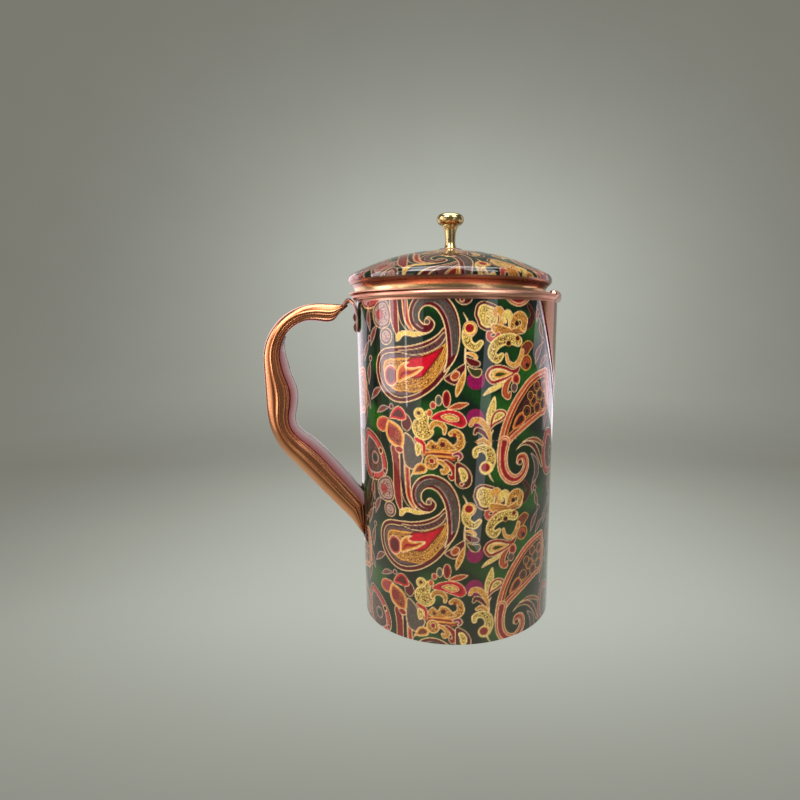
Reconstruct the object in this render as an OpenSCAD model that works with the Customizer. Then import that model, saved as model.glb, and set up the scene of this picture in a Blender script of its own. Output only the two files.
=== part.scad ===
// Copper water jug: rolled copper body with a soldered spout, a hollow pressed
// handle on a riveted bracket, and a loose domed lid with a brass knob.
// Millimetres, +Z up. The origin is on the axis of the body, on the plane the
// base stands on. The spout points to +X and the handle to -X.

/* [View] */
// name of the one node to draw, or "all" for the whole jug

/* [Body] */
// outside radius of the printed body
body_radius = 55; // [40:0.5:80]
// height of the centre of the rolled rim above the table
rim_height = 179.4; // [120:0.2:260]
// thickness of the copper sheet
sheet = 0.6; // [0.5:0.1:1.5]
// thickness of the printed lacquered film
film = 0.2; // [0.1:0.05:0.4]
// outside radius of the roll along the rim
rim_roll = 1.6; // [1.2:0.1:3]
// rounding of the bottom corner, outside
corner = 3.5; // [2:0.5:8]

/* [Spout] */
// angle from the spout plane at which the lip leaves the rim circle, degrees
lip_turn = 26.2; // [15:0.2:35]
// angle from the spout plane at which the lip roll ends on the rim, degrees
lip_end = 41; // [36:0.5:60]
// depth below the lip at which the beak runs out into the wall
beak_depth = 50; // [30:1:80]
// angle from the spout plane at which the lapped sheet ends at its top, degrees
lap_turn = 55; // [45:0.5:65]
// depth of the lapped sheet below the top of the print
lap_depth = 64; // [50:1:90]
// outside radius of the roll along the spout lip
lip_roll = 2.2; // [1.4:0.1:3]
// width of the solder line beside the spout
braze_width = 0.5; // [0.3:0.1:2]
// height of the solder line above the wall
braze_height = 0.7; // [0.4:0.1:1.5]

/* [Handle] */
// distance from the body axis to the back of the handle
handle_reach = 104.4; // [85:0.2:130]
// thickness of the handle tube, seen from the side
tube_thick = 9.5; // [8:0.5:16]
// width of the handle tube, seen from the back
tube_wide = 15; // [10:0.5:24]
// rounding of the tube edges
tube_round = 4; // [2:0.25:5]
// outside radius of the upper bend
upper_bend = 32.6; // [24:0.5:45]
// height of the centre of the upper bend
upper_bend_z = 144.6; // [110:0.5:200]
// outside radius of the lower bend
lower_bend = 40; // [25:0.5:60]
// height of the centre of the lower bend
lower_bend_z = 124; // [80:0.5:140]
// lean of the lower leg from the vertical, degrees
leg_lean = 38.2; // [25:0.1:60]
// width of the finger grip, seen from the back
grip_wide = 11.5; // [8:0.5:14]

/* [Lid] */
// widest radius of the lid shoulder
lid_radius = 55.3; // [45:0.1:70]
// rounding of the lid shoulder
shoulder = 3; // [2:0.25:5]
// radius of the sphere that the dome is part of
dome_sphere = 114; // [90:1:200]
// height of the dome top above the centre of the rim roll
dome_rise = 25.2; // [18:0.1:40]
// outside radius of the lid skirt inside the mouth
skirt_radius = 50; // [42:0.1:52]
// length of the skirt below its flange
skirt_depth = 9; // [6:0.5:25]
// how far the loose lid rests toward the handle
lid_shift = 3.5; // [0:0.1:3.5]
// gap between the lid flange and the rim
lid_gap = 0.1; // [0:0.05:0.5]

/* [Knob] */
// widest radius of the knob
knob_radius = 7.4; // [5:0.1:14]
// height of the knob above its collar
knob_height = 18.5; // [12:0.1:30]
// radius of the collar under the knob
collar_radius = 7; // [5:0.1:12]
// radius of the screw that holds the knob
screw_radius = 2; // [1.5:0.1:3]

/* [Hidden] */
$fn = 96;

// body
wall_out = body_radius - film;
wall_in = wall_out - sheet;
roll_mid = wall_in + rim_roll;
wall_top = rim_height - 0.9;
film_top = rim_height - rim_roll - 1;
film_foot = 0.9;
rim_top = rim_height + rim_roll;
corner_x = wall_out - corner;

// spout: a beak with two flat sides that lean outward, on a sheet lapped on the wall
lip_mid = body_radius + 0.2;
lip_z = wall_top + lip_roll - 0.1;
lip_tip = lip_mid / cos(lip_turn);
lip_run_length = lip_mid * tan(lip_turn);
lip_gap = 0.15;
beak_out = lip_mid - 0.7;
beak_tip = beak_out / cos(lip_turn);
beak_lean = atan((beak_tip - body_radius) / beak_depth);
beak_back = lip_mid * cos(lip_turn);
beak_start = beak_depth + 12;
lap_x = wall_out * cos(lap_turn);
lap_lean = atan((wall_out - lap_x) / lap_depth);
lap_foot = film_top - lap_depth - 6;
roll_cut = roll_mid * cos(lip_end);

// handle, drawn toward +X and turned round at the end
tube_mid = tube_thick / 2;
tube_step = 0.1;
upper_x = handle_reach - upper_bend;
lower_x = handle_reach - lower_bend;
nose_angle = 97;
leg_length = 90;
leg_shape = 7.5;
nose_x = upper_x + (upper_bend - tube_mid) * cos(nose_angle);
nose_z = upper_bend_z + (upper_bend - tube_mid) * sin(nose_angle);

// bracket and rivets
flange_top = nose_z + 2;
flange_round = 7;
flange_mid = flange_top - 6;
flange_thick = 1.3;
rivet_radius = 1.5;
rivet_head = 2.6;
rivet_cap = 1.2;
rivet_slack = 0.05;
rivet_high_z = flange_mid + 0.9;
rivet_low_z = flange_mid - 4.3;

// lid
flange_z = rim_top + lid_gap;
band_z = flange_z + sheet;
dome_z = rim_height + dome_rise;
sphere_z = dome_z - dome_sphere;
shoulder_x = lid_radius - shoulder;
shoulder_z = sphere_z + sqrt(pow(dome_sphere - shoulder, 2) - pow(shoulder_x, 2));
dome_turn = shoulder_x * dome_sphere / (dome_sphere - shoulder);
band_top = shoulder_z - shoulder + 0.6;
cove_mid = (band_z + band_top) / 2;
cove_radius = 6.2;
cove_x = lid_radius - 2.2 + cove_radius;
flange_radius = 55.2;

// knob
collar_z = dome_z + film;
collar_thick = 0.9;
foot_z = collar_z + collar_thick;
knob_top = foot_z + knob_height;
head_low = knob_top - 6.2;
neck_radius = 2.7;
neck_curve = 13;
head_round = 2.6;
washer_radius = 6;
washer_thick = 1;
washer_z = dome_z - sheet - washer_thick;
screw_top = foot_z + 9;
screw_head = 3.4;

// ---- helpers ----

// a ring round the body axis, from radius a to b and height lo to hi
module ring(a, b, lo, hi) {
    rotate_extrude($fn = 128) translate([a, lo]) square([b - a, hi - lo]);
}

// the lid parts share an axis that sits toward the handle
module on_lid() {
    translate([-lid_shift, 0, 0]) children();
}

// the beak as a leaning prism, thinned by an inset
module beak(inset) {
    tip = beak_tip * cos(beak_lean) - inset / cos(lip_turn);
    half = (tip - beak_back) / tan(lip_turn);
    translate([0, 0, lip_z]) rotate([0, beak_lean, 0]) translate([0, 0, -beak_start])
        linear_extrude(beak_start + 8)
        polygon([[beak_back, -half], [tip, 0], [beak_back, half]]);
}

// everything on the spout side of the edge of the lapped sheet, moved out by a margin
module lap_space(margin) {
    translate([lap_x, 0, film_top]) rotate([0, -lap_lean, 0])
        translate([-margin, -80, -120]) cube([120, 160, 240]);
}

// the spout side of the rim, where the lip takes over from the rim roll
module lip_side(x) {
    translate([x, -80, 100]) cube([60, 160, 120]);
}

// the roll along the spout lip, of a given radius: on the rim, then out to the tip
module lip_run(r) {
    knuckle = r + 0.06;
    turn = asin(lip_gap / lip_mid);
    translate([0, 0, lip_z]) {
        for (m = [-1, 1]) {
            rotate_extrude(angle = lip_end - lip_turn - 2 * turn,
                           start = m > 0 ? lip_turn + turn : turn - lip_end, $fn = 128)
                translate([lip_mid, 0]) circle(r = r, $fn = 48);
            rotate([0, 0, m * lip_turn]) translate([lip_mid, 0, 0]) {
                sphere(r = knuckle, $fn = 48);
                rotate([m * 90, 0, 0]) translate([0, 0, lip_gap])
                    cylinder(r = r, h = lip_run_length - 2 * lip_gap, $fn = 48);
            }
            rotate([0, 0, m * lip_end]) translate([lip_mid, 0, 0])
                sphere(r = knuckle, $fn = 48);
        }
        translate([lip_tip, 0, 0]) sphere(r = knuckle, $fn = 48);
    }
}

// keeps what is outside the printed body
module off_body() {
    difference() {
        children();
        translate([0, 0, -5]) cylinder(r = body_radius, h = 260, $fn = 128);
    }
}

// section of the handle tube: x is thickness and y is width
module tube_section(inset) {
    t = tube_thick - 2 * inset;
    w = tube_wide - 2 * inset;
    r = tube_round - inset;
    square([t - 2 * r, w], center = true);
    square([t, w - 2 * r], center = true);
    for (a = [-1, 1], b = [-1, 1])
        translate([a * (t / 2 - r), b * (w / 2 - r)]) circle(r = r, $fn = 32);
}

module half_section(inset) {
    intersection() {
        tube_section(inset);
        translate([0, -tube_wide]) square([tube_thick, 2 * tube_wide]);
    }
}

// the whole run of the handle tube, toward +X; the nose and the leg are a little
// thinner than the bends they run into
module tube_run(inset) {
    translate([nose_x, 0, nose_z]) rotate([90, 0, 0])
        rotate_extrude($fn = 64) half_section(inset + tube_step);
    translate([upper_x, 0, upper_bend_z]) rotate([90, 0, 0])
        rotate_extrude(angle = nose_angle, start = 0, $fn = 128)
            translate([upper_bend - tube_mid, 0]) tube_section(inset);
    translate([handle_reach - tube_mid, 0, lower_bend_z])
        linear_extrude(upper_bend_z - lower_bend_z) tube_section(inset);
    translate([lower_x, 0, lower_bend_z]) rotate([90, 0, 0])
        rotate_extrude(angle = leg_lean, start = -leg_lean, $fn = 128)
            translate([lower_bend - tube_mid, 0]) tube_section(inset);
    translate([lower_x, 0, lower_bend_z]) rotate([0, leg_lean, 0])
        translate([lower_bend - tube_mid, 0, -leg_length])
            linear_extrude(leg_length + 1) tube_section(inset + tube_step);
}

// side outline of the finger grip, x outward and y up, thinned by an inset
module grip_outline(inset) {
    difference() {
        grip_waves(inset);
        translate([handle_reach - tube_mid, 0]) square([40, 300]);
    }
}

module grip_waves(inset) {
    leg_in = lower_bend - tube_thick - leg_shape + inset;
    translate([handle_reach - 8, upper_bend_z + 1.4]) circle(r = 6.4 - inset, $fn = 64);
    translate([handle_reach - 1.4, lower_bend_z + 2]) circle(r = 15.3 - inset, $fn = 96);
    polygon([
        [handle_reach - 6, upper_bend_z + 2 - inset],
        [handle_reach - 13.9 + inset, upper_bend_z - 2],
        [handle_reach - 16.2 + inset, lower_bend_z - 8 + inset],
        [lower_x + leg_in * cos(leg_lean), lower_bend_z - leg_in * sin(leg_lean)],
        [lower_x + (leg_in + leg_shape + 3) * cos(leg_lean),
         lower_bend_z - (leg_in + leg_shape + 3) * sin(leg_lean)],
        [handle_reach - 6, lower_bend_z]
    ]);
    translate([lower_x, lower_bend_z]) rotate(-leg_lean)
        translate([leg_in, -leg_length]) square([leg_shape + 3 - inset, leg_length]);
}

// a solid of the grip outline, standing in the handle plane
module grip_slab(inset, wide) {
    translate([0, wide / 2, 0]) rotate([90, 0, 0]) linear_extrude(wide) grip_outline(inset);
}

// turns what was drawn toward +X round to the handle side
module handle_side() {
    rotate([0, 0, 180]) children();
}

module rivet(z) {
    handle_side() {
        translate([wall_in - 0.8, 0, z]) rotate([0, 90, 0])
            cylinder(r = rivet_radius, h = sheet + film + flange_thick + 1.2, $fn = 32);
        translate([body_radius + flange_thick, 0, z]) rotate([0, 90, 0])
            rivet_dome();
        translate([wall_in - 0.3, 0, z]) rotate([0, -90, 0]) rivet_dome();
    }
}

// the domed head of a rivet, standing on its flat face
module rivet_dome() {
    ball = (pow(rivet_head, 2) + pow(rivet_cap, 2)) / (2 * rivet_cap);
    rotate_extrude($fn = 32) intersection() {
        translate([0, rivet_cap - ball]) circle(r = ball, $fn = 64);
        square([rivet_head + 1, rivet_cap + 1]);
    }
}

// the holes that both rivets pass through
module rivet_holes() {
    for (z = [rivet_high_z, rivet_low_z])
        handle_side() translate([wall_in - 5, 0, z]) rotate([0, 90, 0])
            cylinder(r = rivet_radius + rivet_slack, h = 12, $fn = 32);
}

// ---- body ----

// rolled copper sheet: bottom corner, wall, open spout side and hollow rim roll
module body_wall() {
    color([0.72, 0.43, 0.33]) difference() {
        rotate_extrude($fn = 128) {
            translate([wall_in, corner]) square([sheet, wall_top - corner]);
            translate([roll_mid, rim_height]) difference() {
                circle(r = rim_roll, $fn = 32);
                circle(r = rim_roll - 0.6, $fn = 32);
            }
        }
        beak(0);
        lip_run(lip_roll);
        intersection() {
            lip_side(roll_cut);
            ring(wall_out, 70, 150, 200);
        }
        intersection() {
            lip_side(roll_cut);
            ring(40, 70, wall_top, 200);
        }
        rivet_holes();
    }
}

// base pan: flat disc whose rounded corner rises to meet the wall edge to edge
module body_base() {
    color([0.74, 0.46, 0.35]) rotate_extrude($fn = 128) {
        square([corner_x, sheet]);
        translate([corner_x, corner]) intersection() {
            difference() {
                circle(r = corner, $fn = 64);
                circle(r = corner - sheet, $fn = 64);
            }
            translate([0, -corner]) square([corner, corner]);
        }
    }
}

// solder run inside the corner, over the seam between the base pan and the wall
module base_braze() {
    reach = 4.2;
    thin = 0.3;
    color([0.70, 0.60, 0.42]) rotate_extrude($fn = 128) difference() {
        translate([wall_in - reach, sheet]) square([reach, corner]);
        translate([wall_in - reach - 0.2, sheet + reach + 0.2]) circle(r = reach - 0.1, $fn = 48);
        translate([wall_in - reach - 0.1, corner + 0.7]) square([reach + 1, 3]);
        translate([wall_in - reach - 0.1, 0]) square([thin, 2]);
        difference() {
            translate([corner_x, 0]) square([corner + 1, corner]);
            translate([corner_x, corner]) circle(r = corner - sheet, $fn = 64);
        }
    }
}

// printed and lacquered film round the wall and over the bottom corner
module body_film() {
    color([0.12, 0.24, 0.13]) difference() {
        rotate_extrude($fn = 128) {
            translate([wall_out, corner]) square([film, film_top - corner]);
            translate([corner_x, corner]) intersection() {
                difference() {
                    circle(r = corner + film, $fn = 64);
                    circle(r = corner, $fn = 64);
                }
                translate([0, film_foot - corner]) square([corner + 1, corner - film_foot]);
            }
        }
        lap_space(braze_width);
        rivet_holes();
    }
}

// wire that the rim is rolled round
module rim_wire() {
    color([0.60, 0.36, 0.28]) difference() {
        translate([0, 0, rim_height]) rotate_extrude($fn = 128)
            translate([roll_mid, 0]) circle(r = rim_roll - 0.62, $fn = 32);
        lip_side(roll_cut);
        lip_run(lip_roll);
    }
}

// spout sheet: lapped on the wall at both sides and folded out into the beak
module spout_shell() {
    color([0.74, 0.44, 0.30]) difference() {
        union() {
            intersection() {
                ring(wall_out, wall_out + sheet, lap_foot, film_top);
                lap_space(0);
            }
            difference() {
                intersection() {
                    beak(0);
                    ring(0, 90, lap_foot, lip_z);
                }
                translate([0, 0, 50]) cylinder(r = wall_in, h = 200, $fn = 128);
            }
        }
        beak(sheet);
        lip_run(lip_roll);
    }
}

// hollow roll along the spout lip
module spout_roll() {
    color([0.78, 0.48, 0.38]) difference() {
        lip_run(lip_roll);
        lip_run(lip_roll - 0.7);
    }
}

// wire inside the lip roll
module spout_wire() {
    color([0.60, 0.36, 0.28]) lip_run(lip_roll - 0.78);
}

// raised solder line on the wall, along the edge of the lapped sheet
module spout_braze() {
    color([0.66, 0.50, 0.38]) intersection() {
        difference() {
            lap_space(braze_width);
            lap_space(0);
        }
        ring(wall_out, body_radius + braze_height, lap_foot, film_top);
    }
}

// ---- handle ----

// hollow pressed tube, closed at the nose and cut to the wall at the foot
module handle_shell() {
    color([0.78, 0.45, 0.26]) handle_side() off_body() difference() {
        tube_run(0);
        tube_run(0.7);
    }
}

// hollow finger grip on the inside of the tube
module handle_grip() {
    color([0.80, 0.50, 0.34]) handle_side() off_body() difference() {
        grip_slab(0, grip_wide);
        grip_slab(0.8, grip_wide - 1.6);
        tube_run(0);
    }
}

// bracket under the rim: a flange on the wall that curls over to the handle nose
module handle_bracket() {
    curl = 2.7;
    curl_x = body_radius + flange_thick - 0.2 + curl - 1.2;
    color([0.55, 0.33, 0.25]) difference() {
        handle_side() difference() {
            union() {
                intersection() {
                    ring(body_radius, body_radius + flange_thick, flange_mid - 12, flange_top);
                    union() {
                        translate([40, -flange_round, flange_mid])
                            cube([30, 2 * flange_round, flange_top - flange_mid]);
                        translate([40, 0, flange_mid]) rotate([0, 90, 0])
                            cylinder(r = flange_round, h = 30, $fn = 64);
                    }
                }
                translate([curl_x, 5, flange_top]) rotate([90, 0, 0])
                    rotate_extrude(angle = 180, $fn = 48) translate([curl - 1.3, 0])
                        square([1.3, 10]);
                translate([curl_x + curl - 1.3, -5, flange_top - 1.4]) cube([4, 10, 1.4]);
            }
            tube_run(0);
            translate([0, 0, -5]) cylinder(r = body_radius, h = 260, $fn = 128);
        }
        rivet_holes();
    }
}

module rivet_upper() {
    color([0.82, 0.55, 0.40]) rivet(rivet_high_z);
}

module rivet_lower() {
    color([0.82, 0.55, 0.40]) rivet(rivet_low_z);
}

// solder run round the foot of the handle
module foot_braze() {
    margin = 0.7;
    color([0.66, 0.50, 0.38]) handle_side() difference() {
        intersection() {
            ring(body_radius, body_radius + 0.7, 20, 100);
            translate([lower_x, 0, lower_bend_z]) rotate([0, leg_lean, 0])
                translate([lower_bend - tube_thick - leg_shape - margin,
                           -tube_wide / 2 - margin, -leg_length])
                    cube([tube_thick + leg_shape + 2 * margin, tube_wide + 2 * margin,
                          leg_length]);
        }
        tube_run(0);
        grip_slab(0, grip_wide);
    }
}

// ---- lid ----

// half outline of the dome and its rolled shoulder, of a given outside inset
module dome_outline(inset) {
    intersection() {
        translate([0, sphere_z]) circle(r = dome_sphere - inset, $fn = 360);
        translate([0, shoulder_z]) square([dome_turn, 80]);
    }
    translate([shoulder_x, shoulder_z]) circle(r = shoulder - inset, $fn = 48);
    translate([0, shoulder_z - 0.01]) square([shoulder_x, 3]);
}

// pressed copper dome with a rolled shoulder
module lid_dome() {
    color([0.72, 0.43, 0.33]) on_lid() difference() {
        rotate_extrude($fn = 128) difference() {
            dome_outline(0);
            dome_outline(sheet);
            translate([0, shoulder_z - shoulder - 1])
                square([shoulder_x - 1.4, shoulder + 1]);
        }
        translate([0, 0, sphere_z]) cylinder(r = screw_radius + 0.1, h = 200, $fn = 48);
    }
}

// printed film over the dome and round the shoulder
module lid_film() {
    color([0.12, 0.24, 0.13]) on_lid() rotate_extrude($fn = 128) difference() {
        dome_outline(-film);
        dome_outline(0);
        translate([0, shoulder_z - shoulder - 1]) square([lid_radius + 2, shoulder]);
        translate([0, shoulder_z - shoulder - 1]) square([shoulder_x, shoulder + 2]);
        translate([0, dome_z - 5]) square([collar_radius + 0.3, 10]);
    }
}

// hollowed band between the skirt flange and the shoulder
module lid_band() {
    color([0.68, 0.42, 0.30]) on_lid() rotate_extrude($fn = 128) difference() {
        intersection() {
            translate([cove_x, cove_mid]) difference() {
                circle(r = cove_radius + sheet, $fn = 96);
                circle(r = cove_radius, $fn = 96);
            }
            translate([40, band_z]) square([cove_x - 42, band_top - band_z]);
        }
        translate([shoulder_x, shoulder_z]) circle(r = shoulder, $fn = 48);
    }
}

// flange that lies on the rim, with the skirt that hangs in the mouth
module lid_skirt() {
    color([0.74, 0.46, 0.35]) on_lid() {
        ring(skirt_radius - sheet, skirt_radius, flange_z - skirt_depth, band_z);
        ring(skirt_radius - 0.1, flange_radius, flange_z, band_z);
    }
}

// turned brass knob: flared foot, waisted neck and round head, bored for the screw
module knob() {
    color([0.72, 0.58, 0.30]) on_lid() difference() {
        rotate_extrude($fn = 96) {
            difference() {
                translate([0, foot_z]) square([neck_radius + 2.2, head_low - foot_z + 0.4]);
                translate([neck_radius + neck_curve, foot_z + 4.4])
                    circle(r = neck_curve, $fn = 128);
            }
            translate([0, head_low]) square([knob_radius - head_round, 5]);
            translate([knob_radius - head_round, head_low + head_round])
                circle(r = head_round, $fn = 48);
            intersection() {
                translate([0, knob_top - 12]) circle(r = 12, $fn = 128);
                translate([0, head_low + 3]) square([knob_radius - head_round + 1.2, 6]);
            }
        }
        translate([0, 0, foot_z - 1]) cylinder(r = screw_radius, h = screw_top - foot_z + 1, $fn = 48);
    }
}

// thin collar between the knob and the dome
module knob_collar() {
    color([0.35, 0.30, 0.26]) on_lid() difference() {
        translate([0, 0, dome_z - 1]) cylinder(r = collar_radius, h = foot_z - dome_z + 1, $fn = 96);
        translate([0, 0, sphere_z]) sphere(r = dome_sphere, $fn = 360);
        translate([0, 0, dome_z - 3]) cylinder(r = screw_radius + 0.1, h = 10, $fn = 48);
    }
}

// washer under the dome
module knob_washer() {
    color([0.70, 0.55, 0.30]) on_lid() difference() {
        translate([0, 0, washer_z]) cylinder(r = washer_radius, h = washer_thick - 0.2, $fn = 64);
        translate([0, 0, washer_z - 1]) cylinder(r = screw_radius + 0.1, h = 10, $fn = 48);
    }
}

// screw from below, through the washer and the dome into the knob
module knob_screw() {
    color([0.62, 0.62, 0.62]) on_lid() {
        translate([0, 0, washer_z - 0.1])
            cylinder(r = screw_radius, h = screw_top - washer_z - 0.5, $fn = 48);
        difference() {
            translate([0, 0, washer_z - 2]) cylinder(r = screw_head, h = 2, $fn = 48);
            translate([-screw_head - 1, -0.4, washer_z - 2.5]) cube([2 * screw_head + 2, 0.8, 1.3]);
        }
    }
}

body_wall();
body_base();
base_braze();
body_film();
rim_wire();
spout_shell();
spout_roll();
spout_wire();
spout_braze();
handle_shell();
handle_grip();
handle_bracket();
rivet_upper();
rivet_lower();
foot_braze();
lid_dome();
lid_film();
lid_band();
lid_skirt();
knob();
knob_collar();
knob_washer();
knob_screw();
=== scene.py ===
import bpy, bmesh, math
import numpy as np
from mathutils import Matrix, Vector, noise


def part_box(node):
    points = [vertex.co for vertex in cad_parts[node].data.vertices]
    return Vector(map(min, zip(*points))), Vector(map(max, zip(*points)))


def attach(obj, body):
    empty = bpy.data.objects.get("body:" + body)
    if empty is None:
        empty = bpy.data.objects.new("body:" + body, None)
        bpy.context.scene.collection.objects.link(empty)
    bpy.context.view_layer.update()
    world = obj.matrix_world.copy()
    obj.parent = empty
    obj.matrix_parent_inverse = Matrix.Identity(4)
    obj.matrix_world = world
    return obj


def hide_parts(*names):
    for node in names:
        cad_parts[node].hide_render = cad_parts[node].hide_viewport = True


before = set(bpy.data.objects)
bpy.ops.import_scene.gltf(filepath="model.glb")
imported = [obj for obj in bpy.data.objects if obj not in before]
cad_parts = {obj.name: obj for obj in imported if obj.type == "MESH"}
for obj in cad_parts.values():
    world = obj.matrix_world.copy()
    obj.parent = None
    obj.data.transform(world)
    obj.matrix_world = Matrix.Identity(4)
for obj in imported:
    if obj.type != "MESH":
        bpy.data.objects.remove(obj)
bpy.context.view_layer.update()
MM = 0.001
scene = bpy.context.scene


# ------------------------------------------------------------------ numbers from the frame
def span(node):
    lo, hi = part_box(node)
    return Vector(lo), Vector(hi)


film_lo, film_hi = span("body_film")
lidf_lo, lidf_hi = span("lid_film")
band_lo, band_hi = span("lid_band")
knob_lo, knob_hi = span("knob")
collar_lo, collar_hi = span("knob_collar")
grip_lo, grip_hi = span("handle_grip")

BODY_R = film_hi.y                       # printed surface
FILM_TOP = film_hi.z
FILM_FOOT = film_lo.z
RIM_TOP = span("body_wall")[1].z
LID_X = (lidf_lo.x + lidf_hi.x) / 2      # axis of the loose lid
LID_R = (lidf_hi.x - lidf_lo.x) / 2
DOME_TOP = lidf_hi.z
KNOB_R = (knob_hi.x - knob_lo.x) / 2
HANDLE_OUT = -span("handle_shell")[0].x

# the camera looks along FWD, and SIDE points to its right
CAM_TURN = math.radians(16.0)
FWD = Vector((math.sin(CAM_TURN), math.cos(CAM_TURN), 0.0))
SIDE = Vector((FWD.y, -FWD.x, 0.0))


# ------------------------------------------------------------------ mesh helpers
def make_object(name, verts, faces, mats, body, mat_index=None, sharp=32.0):
    me = bpy.data.meshes.new(name)
    me.from_pydata([tuple(v) for v in verts], [], [tuple(f) for f in faces])
    me.update()
    for m in mats:
        me.materials.append(m)
    if mat_index is not None:
        me.polygons.foreach_set("material_index", np.asarray(mat_index, np.int32))
    me.shade_smooth()
    me.set_sharp_from_angle(angle=math.radians(sharp))
    ob = bpy.data.objects.new(name, me)
    scene.collection.objects.link(ob)
    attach(ob, body)
    return ob


def face_outward(ob):
    bm = bmesh.new()
    bm.from_mesh(ob.data)
    bmesh.ops.recalc_face_normals(bm, faces=bm.faces)
    bm.to_mesh(ob.data)
    bm.free()


def ring_faces(rings):
    """Quads between rings of equal length, and a cap at either end."""
    m = len(rings[0])
    faces = []
    for a, b in zip(rings[:-1], rings[1:]):
        faces += [(a[k], a[(k + 1) % m], b[(k + 1) % m], b[k]) for k in range(m)]
    return faces + [tuple(reversed(rings[0])), tuple(rings[-1])]


def lathe(name, profile, mats, body, segs=160, at=(0.0, 0.0), wobble=0.0, seed=1, sharp=32.0):
    """A closed profile (r, z) turned round the Z axis; points with r = 0 make poles."""
    verts, rings = [], []
    for r, z in profile:
        if r < 1e-7:
            rings.append([len(verts)])
            verts.append((at[0], at[1], z))
        else:
            ids = []
            for k in range(segs):
                a = 2 * math.pi * k / segs
                dr = 0.0
                if wobble:
                    dr = wobble * noise.noise(Vector((math.cos(a) * 1.7 + seed, math.sin(a) * 1.7, z * 40)))
                ids.append(len(verts))
                verts.append((at[0] + (r + dr) * math.cos(a), at[1] + (r + dr) * math.sin(a), z))
            rings.append(ids)
    faces = []
    n = len(rings)
    closed = not (len(rings[0]) == 1 and len(rings[-1]) == 1)
    for i in range(n if closed else n - 1):
        a, b = rings[i], rings[(i + 1) % n]
        if len(a) == 1 and len(b) == 1:
            continue
        for k in range(segs):
            k2 = (k + 1) % segs
            if len(a) == 1:
                faces.append((a[0], b[k2], b[k]))
            elif len(b) == 1:
                faces.append((a[k], a[k2], b[0]))
            else:
                faces.append((a[k], a[k2], b[k2], b[k]))
    return make_object(name, verts, faces, mats, body, sharp=sharp)


def between(a, b, c, d, t):
    """Catmull-Rom point at t between b and c."""
    return 0.5 * (2 * b + (c - a) * t + (2 * a - 5 * b + 4 * c - d) * t * t
                  + (3 * b - a - 3 * c + d) * t ** 3)


def catmull(points, per):
    """A smooth run through points of any dimension, open at its ends."""
    p = np.asarray(points, float)
    p = np.vstack([2 * p[0] - p[1], p, 2 * p[-1] - p[-2]])
    out = []
    for i in range(1, len(p) - 2):
        for k in range(per):
            t = k / per
            out.append(between(p[i - 1], p[i], p[i + 1], p[i + 2], t))
    out.append(p[-2])
    return np.array(out)


# ------------------------------------------------------------------ materials
def new_mat(name):
    m = bpy.data.materials.new(name)
    m.use_nodes = True
    nt = m.node_tree
    return m, nt, nt.nodes["Principled BSDF"]


def node(nt, kind, x=0, y=0, **props):
    n = nt.nodes.new(kind)
    n.location = (x, y)
    for k, v in props.items():
        setattr(n, k, v)
    return n


def ramp(nt, stops, x=0, y=0):
    r = node(nt, "ShaderNodeValToRGB", x, y)
    el = r.color_ramp.elements
    while len(el) < len(stops):
        el.new(0.5)
    for e, (pos, col) in zip(el, stops):
        e.position = pos
        e.color = (*col, 1) if len(col) == 3 else col
    return r


def noise_tex(nt, scale, detail=4, rough=0.5, stretch=None, x=0, y=0):
    tc = node(nt, "ShaderNodeTexCoord", x - 400, y)
    mp = node(nt, "ShaderNodeMapping", x - 200, y)
    if stretch:
        mp.inputs["Scale"].default_value = stretch
    t = node(nt, "ShaderNodeTexNoise", x, y)
    t.inputs["Scale"].default_value = scale
    t.inputs["Detail"].default_value = detail
    t.inputs["Roughness"].default_value = rough
    nt.links.new(tc.outputs["Object"], mp.inputs["Vector"])
    nt.links.new(mp.outputs["Vector"], t.inputs["Vector"])
    return t


def mapped(nt, value, source, target, x, y):
    """Map Range from one span to another."""
    r = node(nt, "ShaderNodeMapRange", x, y)
    for socket, v in zip(("From Min", "From Max", "To Min", "To Max"), (*source, *target)):
        r.inputs[socket].default_value = v
    nt.links.new(value, r.inputs["Value"])
    return r.outputs["Result"]


def product(nt, a, b, x, y):
    n = node(nt, "ShaderNodeMath", x, y, operation="MULTIPLY")
    nt.links.new(a, n.inputs[0])
    if isinstance(b, float):
        n.inputs[1].default_value = b
    else:
        nt.links.new(b, n.inputs[1])
    return n.outputs[0]


def blended(nt, a, colour, factor, x, y):
    """Mixes a constant colour over a."""
    n = node(nt, "ShaderNodeMix", x, y, data_type="RGBA")
    n.inputs["B"].default_value = (*colour, 1)
    nt.links.new(factor, n.inputs["Factor"])
    nt.links.new(a, n.inputs["A"])
    return n.outputs["Result"]


def scaled(nt, vector, factor, x, y):
    n = node(nt, "ShaderNodeVectorMath", x, y, operation="SCALE")
    nt.links.new(vector, n.inputs[0])
    if isinstance(factor, float):
        n.inputs["Scale"].default_value = factor
    else:
        nt.links.new(factor, n.inputs["Scale"])
    return n.outputs["Vector"]


def bumped(nt, shader, height, strength, x, y):
    bp = node(nt, "ShaderNodeBump", x, y)
    bp.inputs["Strength"].default_value = strength
    bp.inputs["Distance"].default_value = 0.0006
    nt.links.new(height, bp.inputs["Height"])
    nt.links.new(bp.outputs["Normal"], shader.inputs["Normal"])
    return bp


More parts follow.
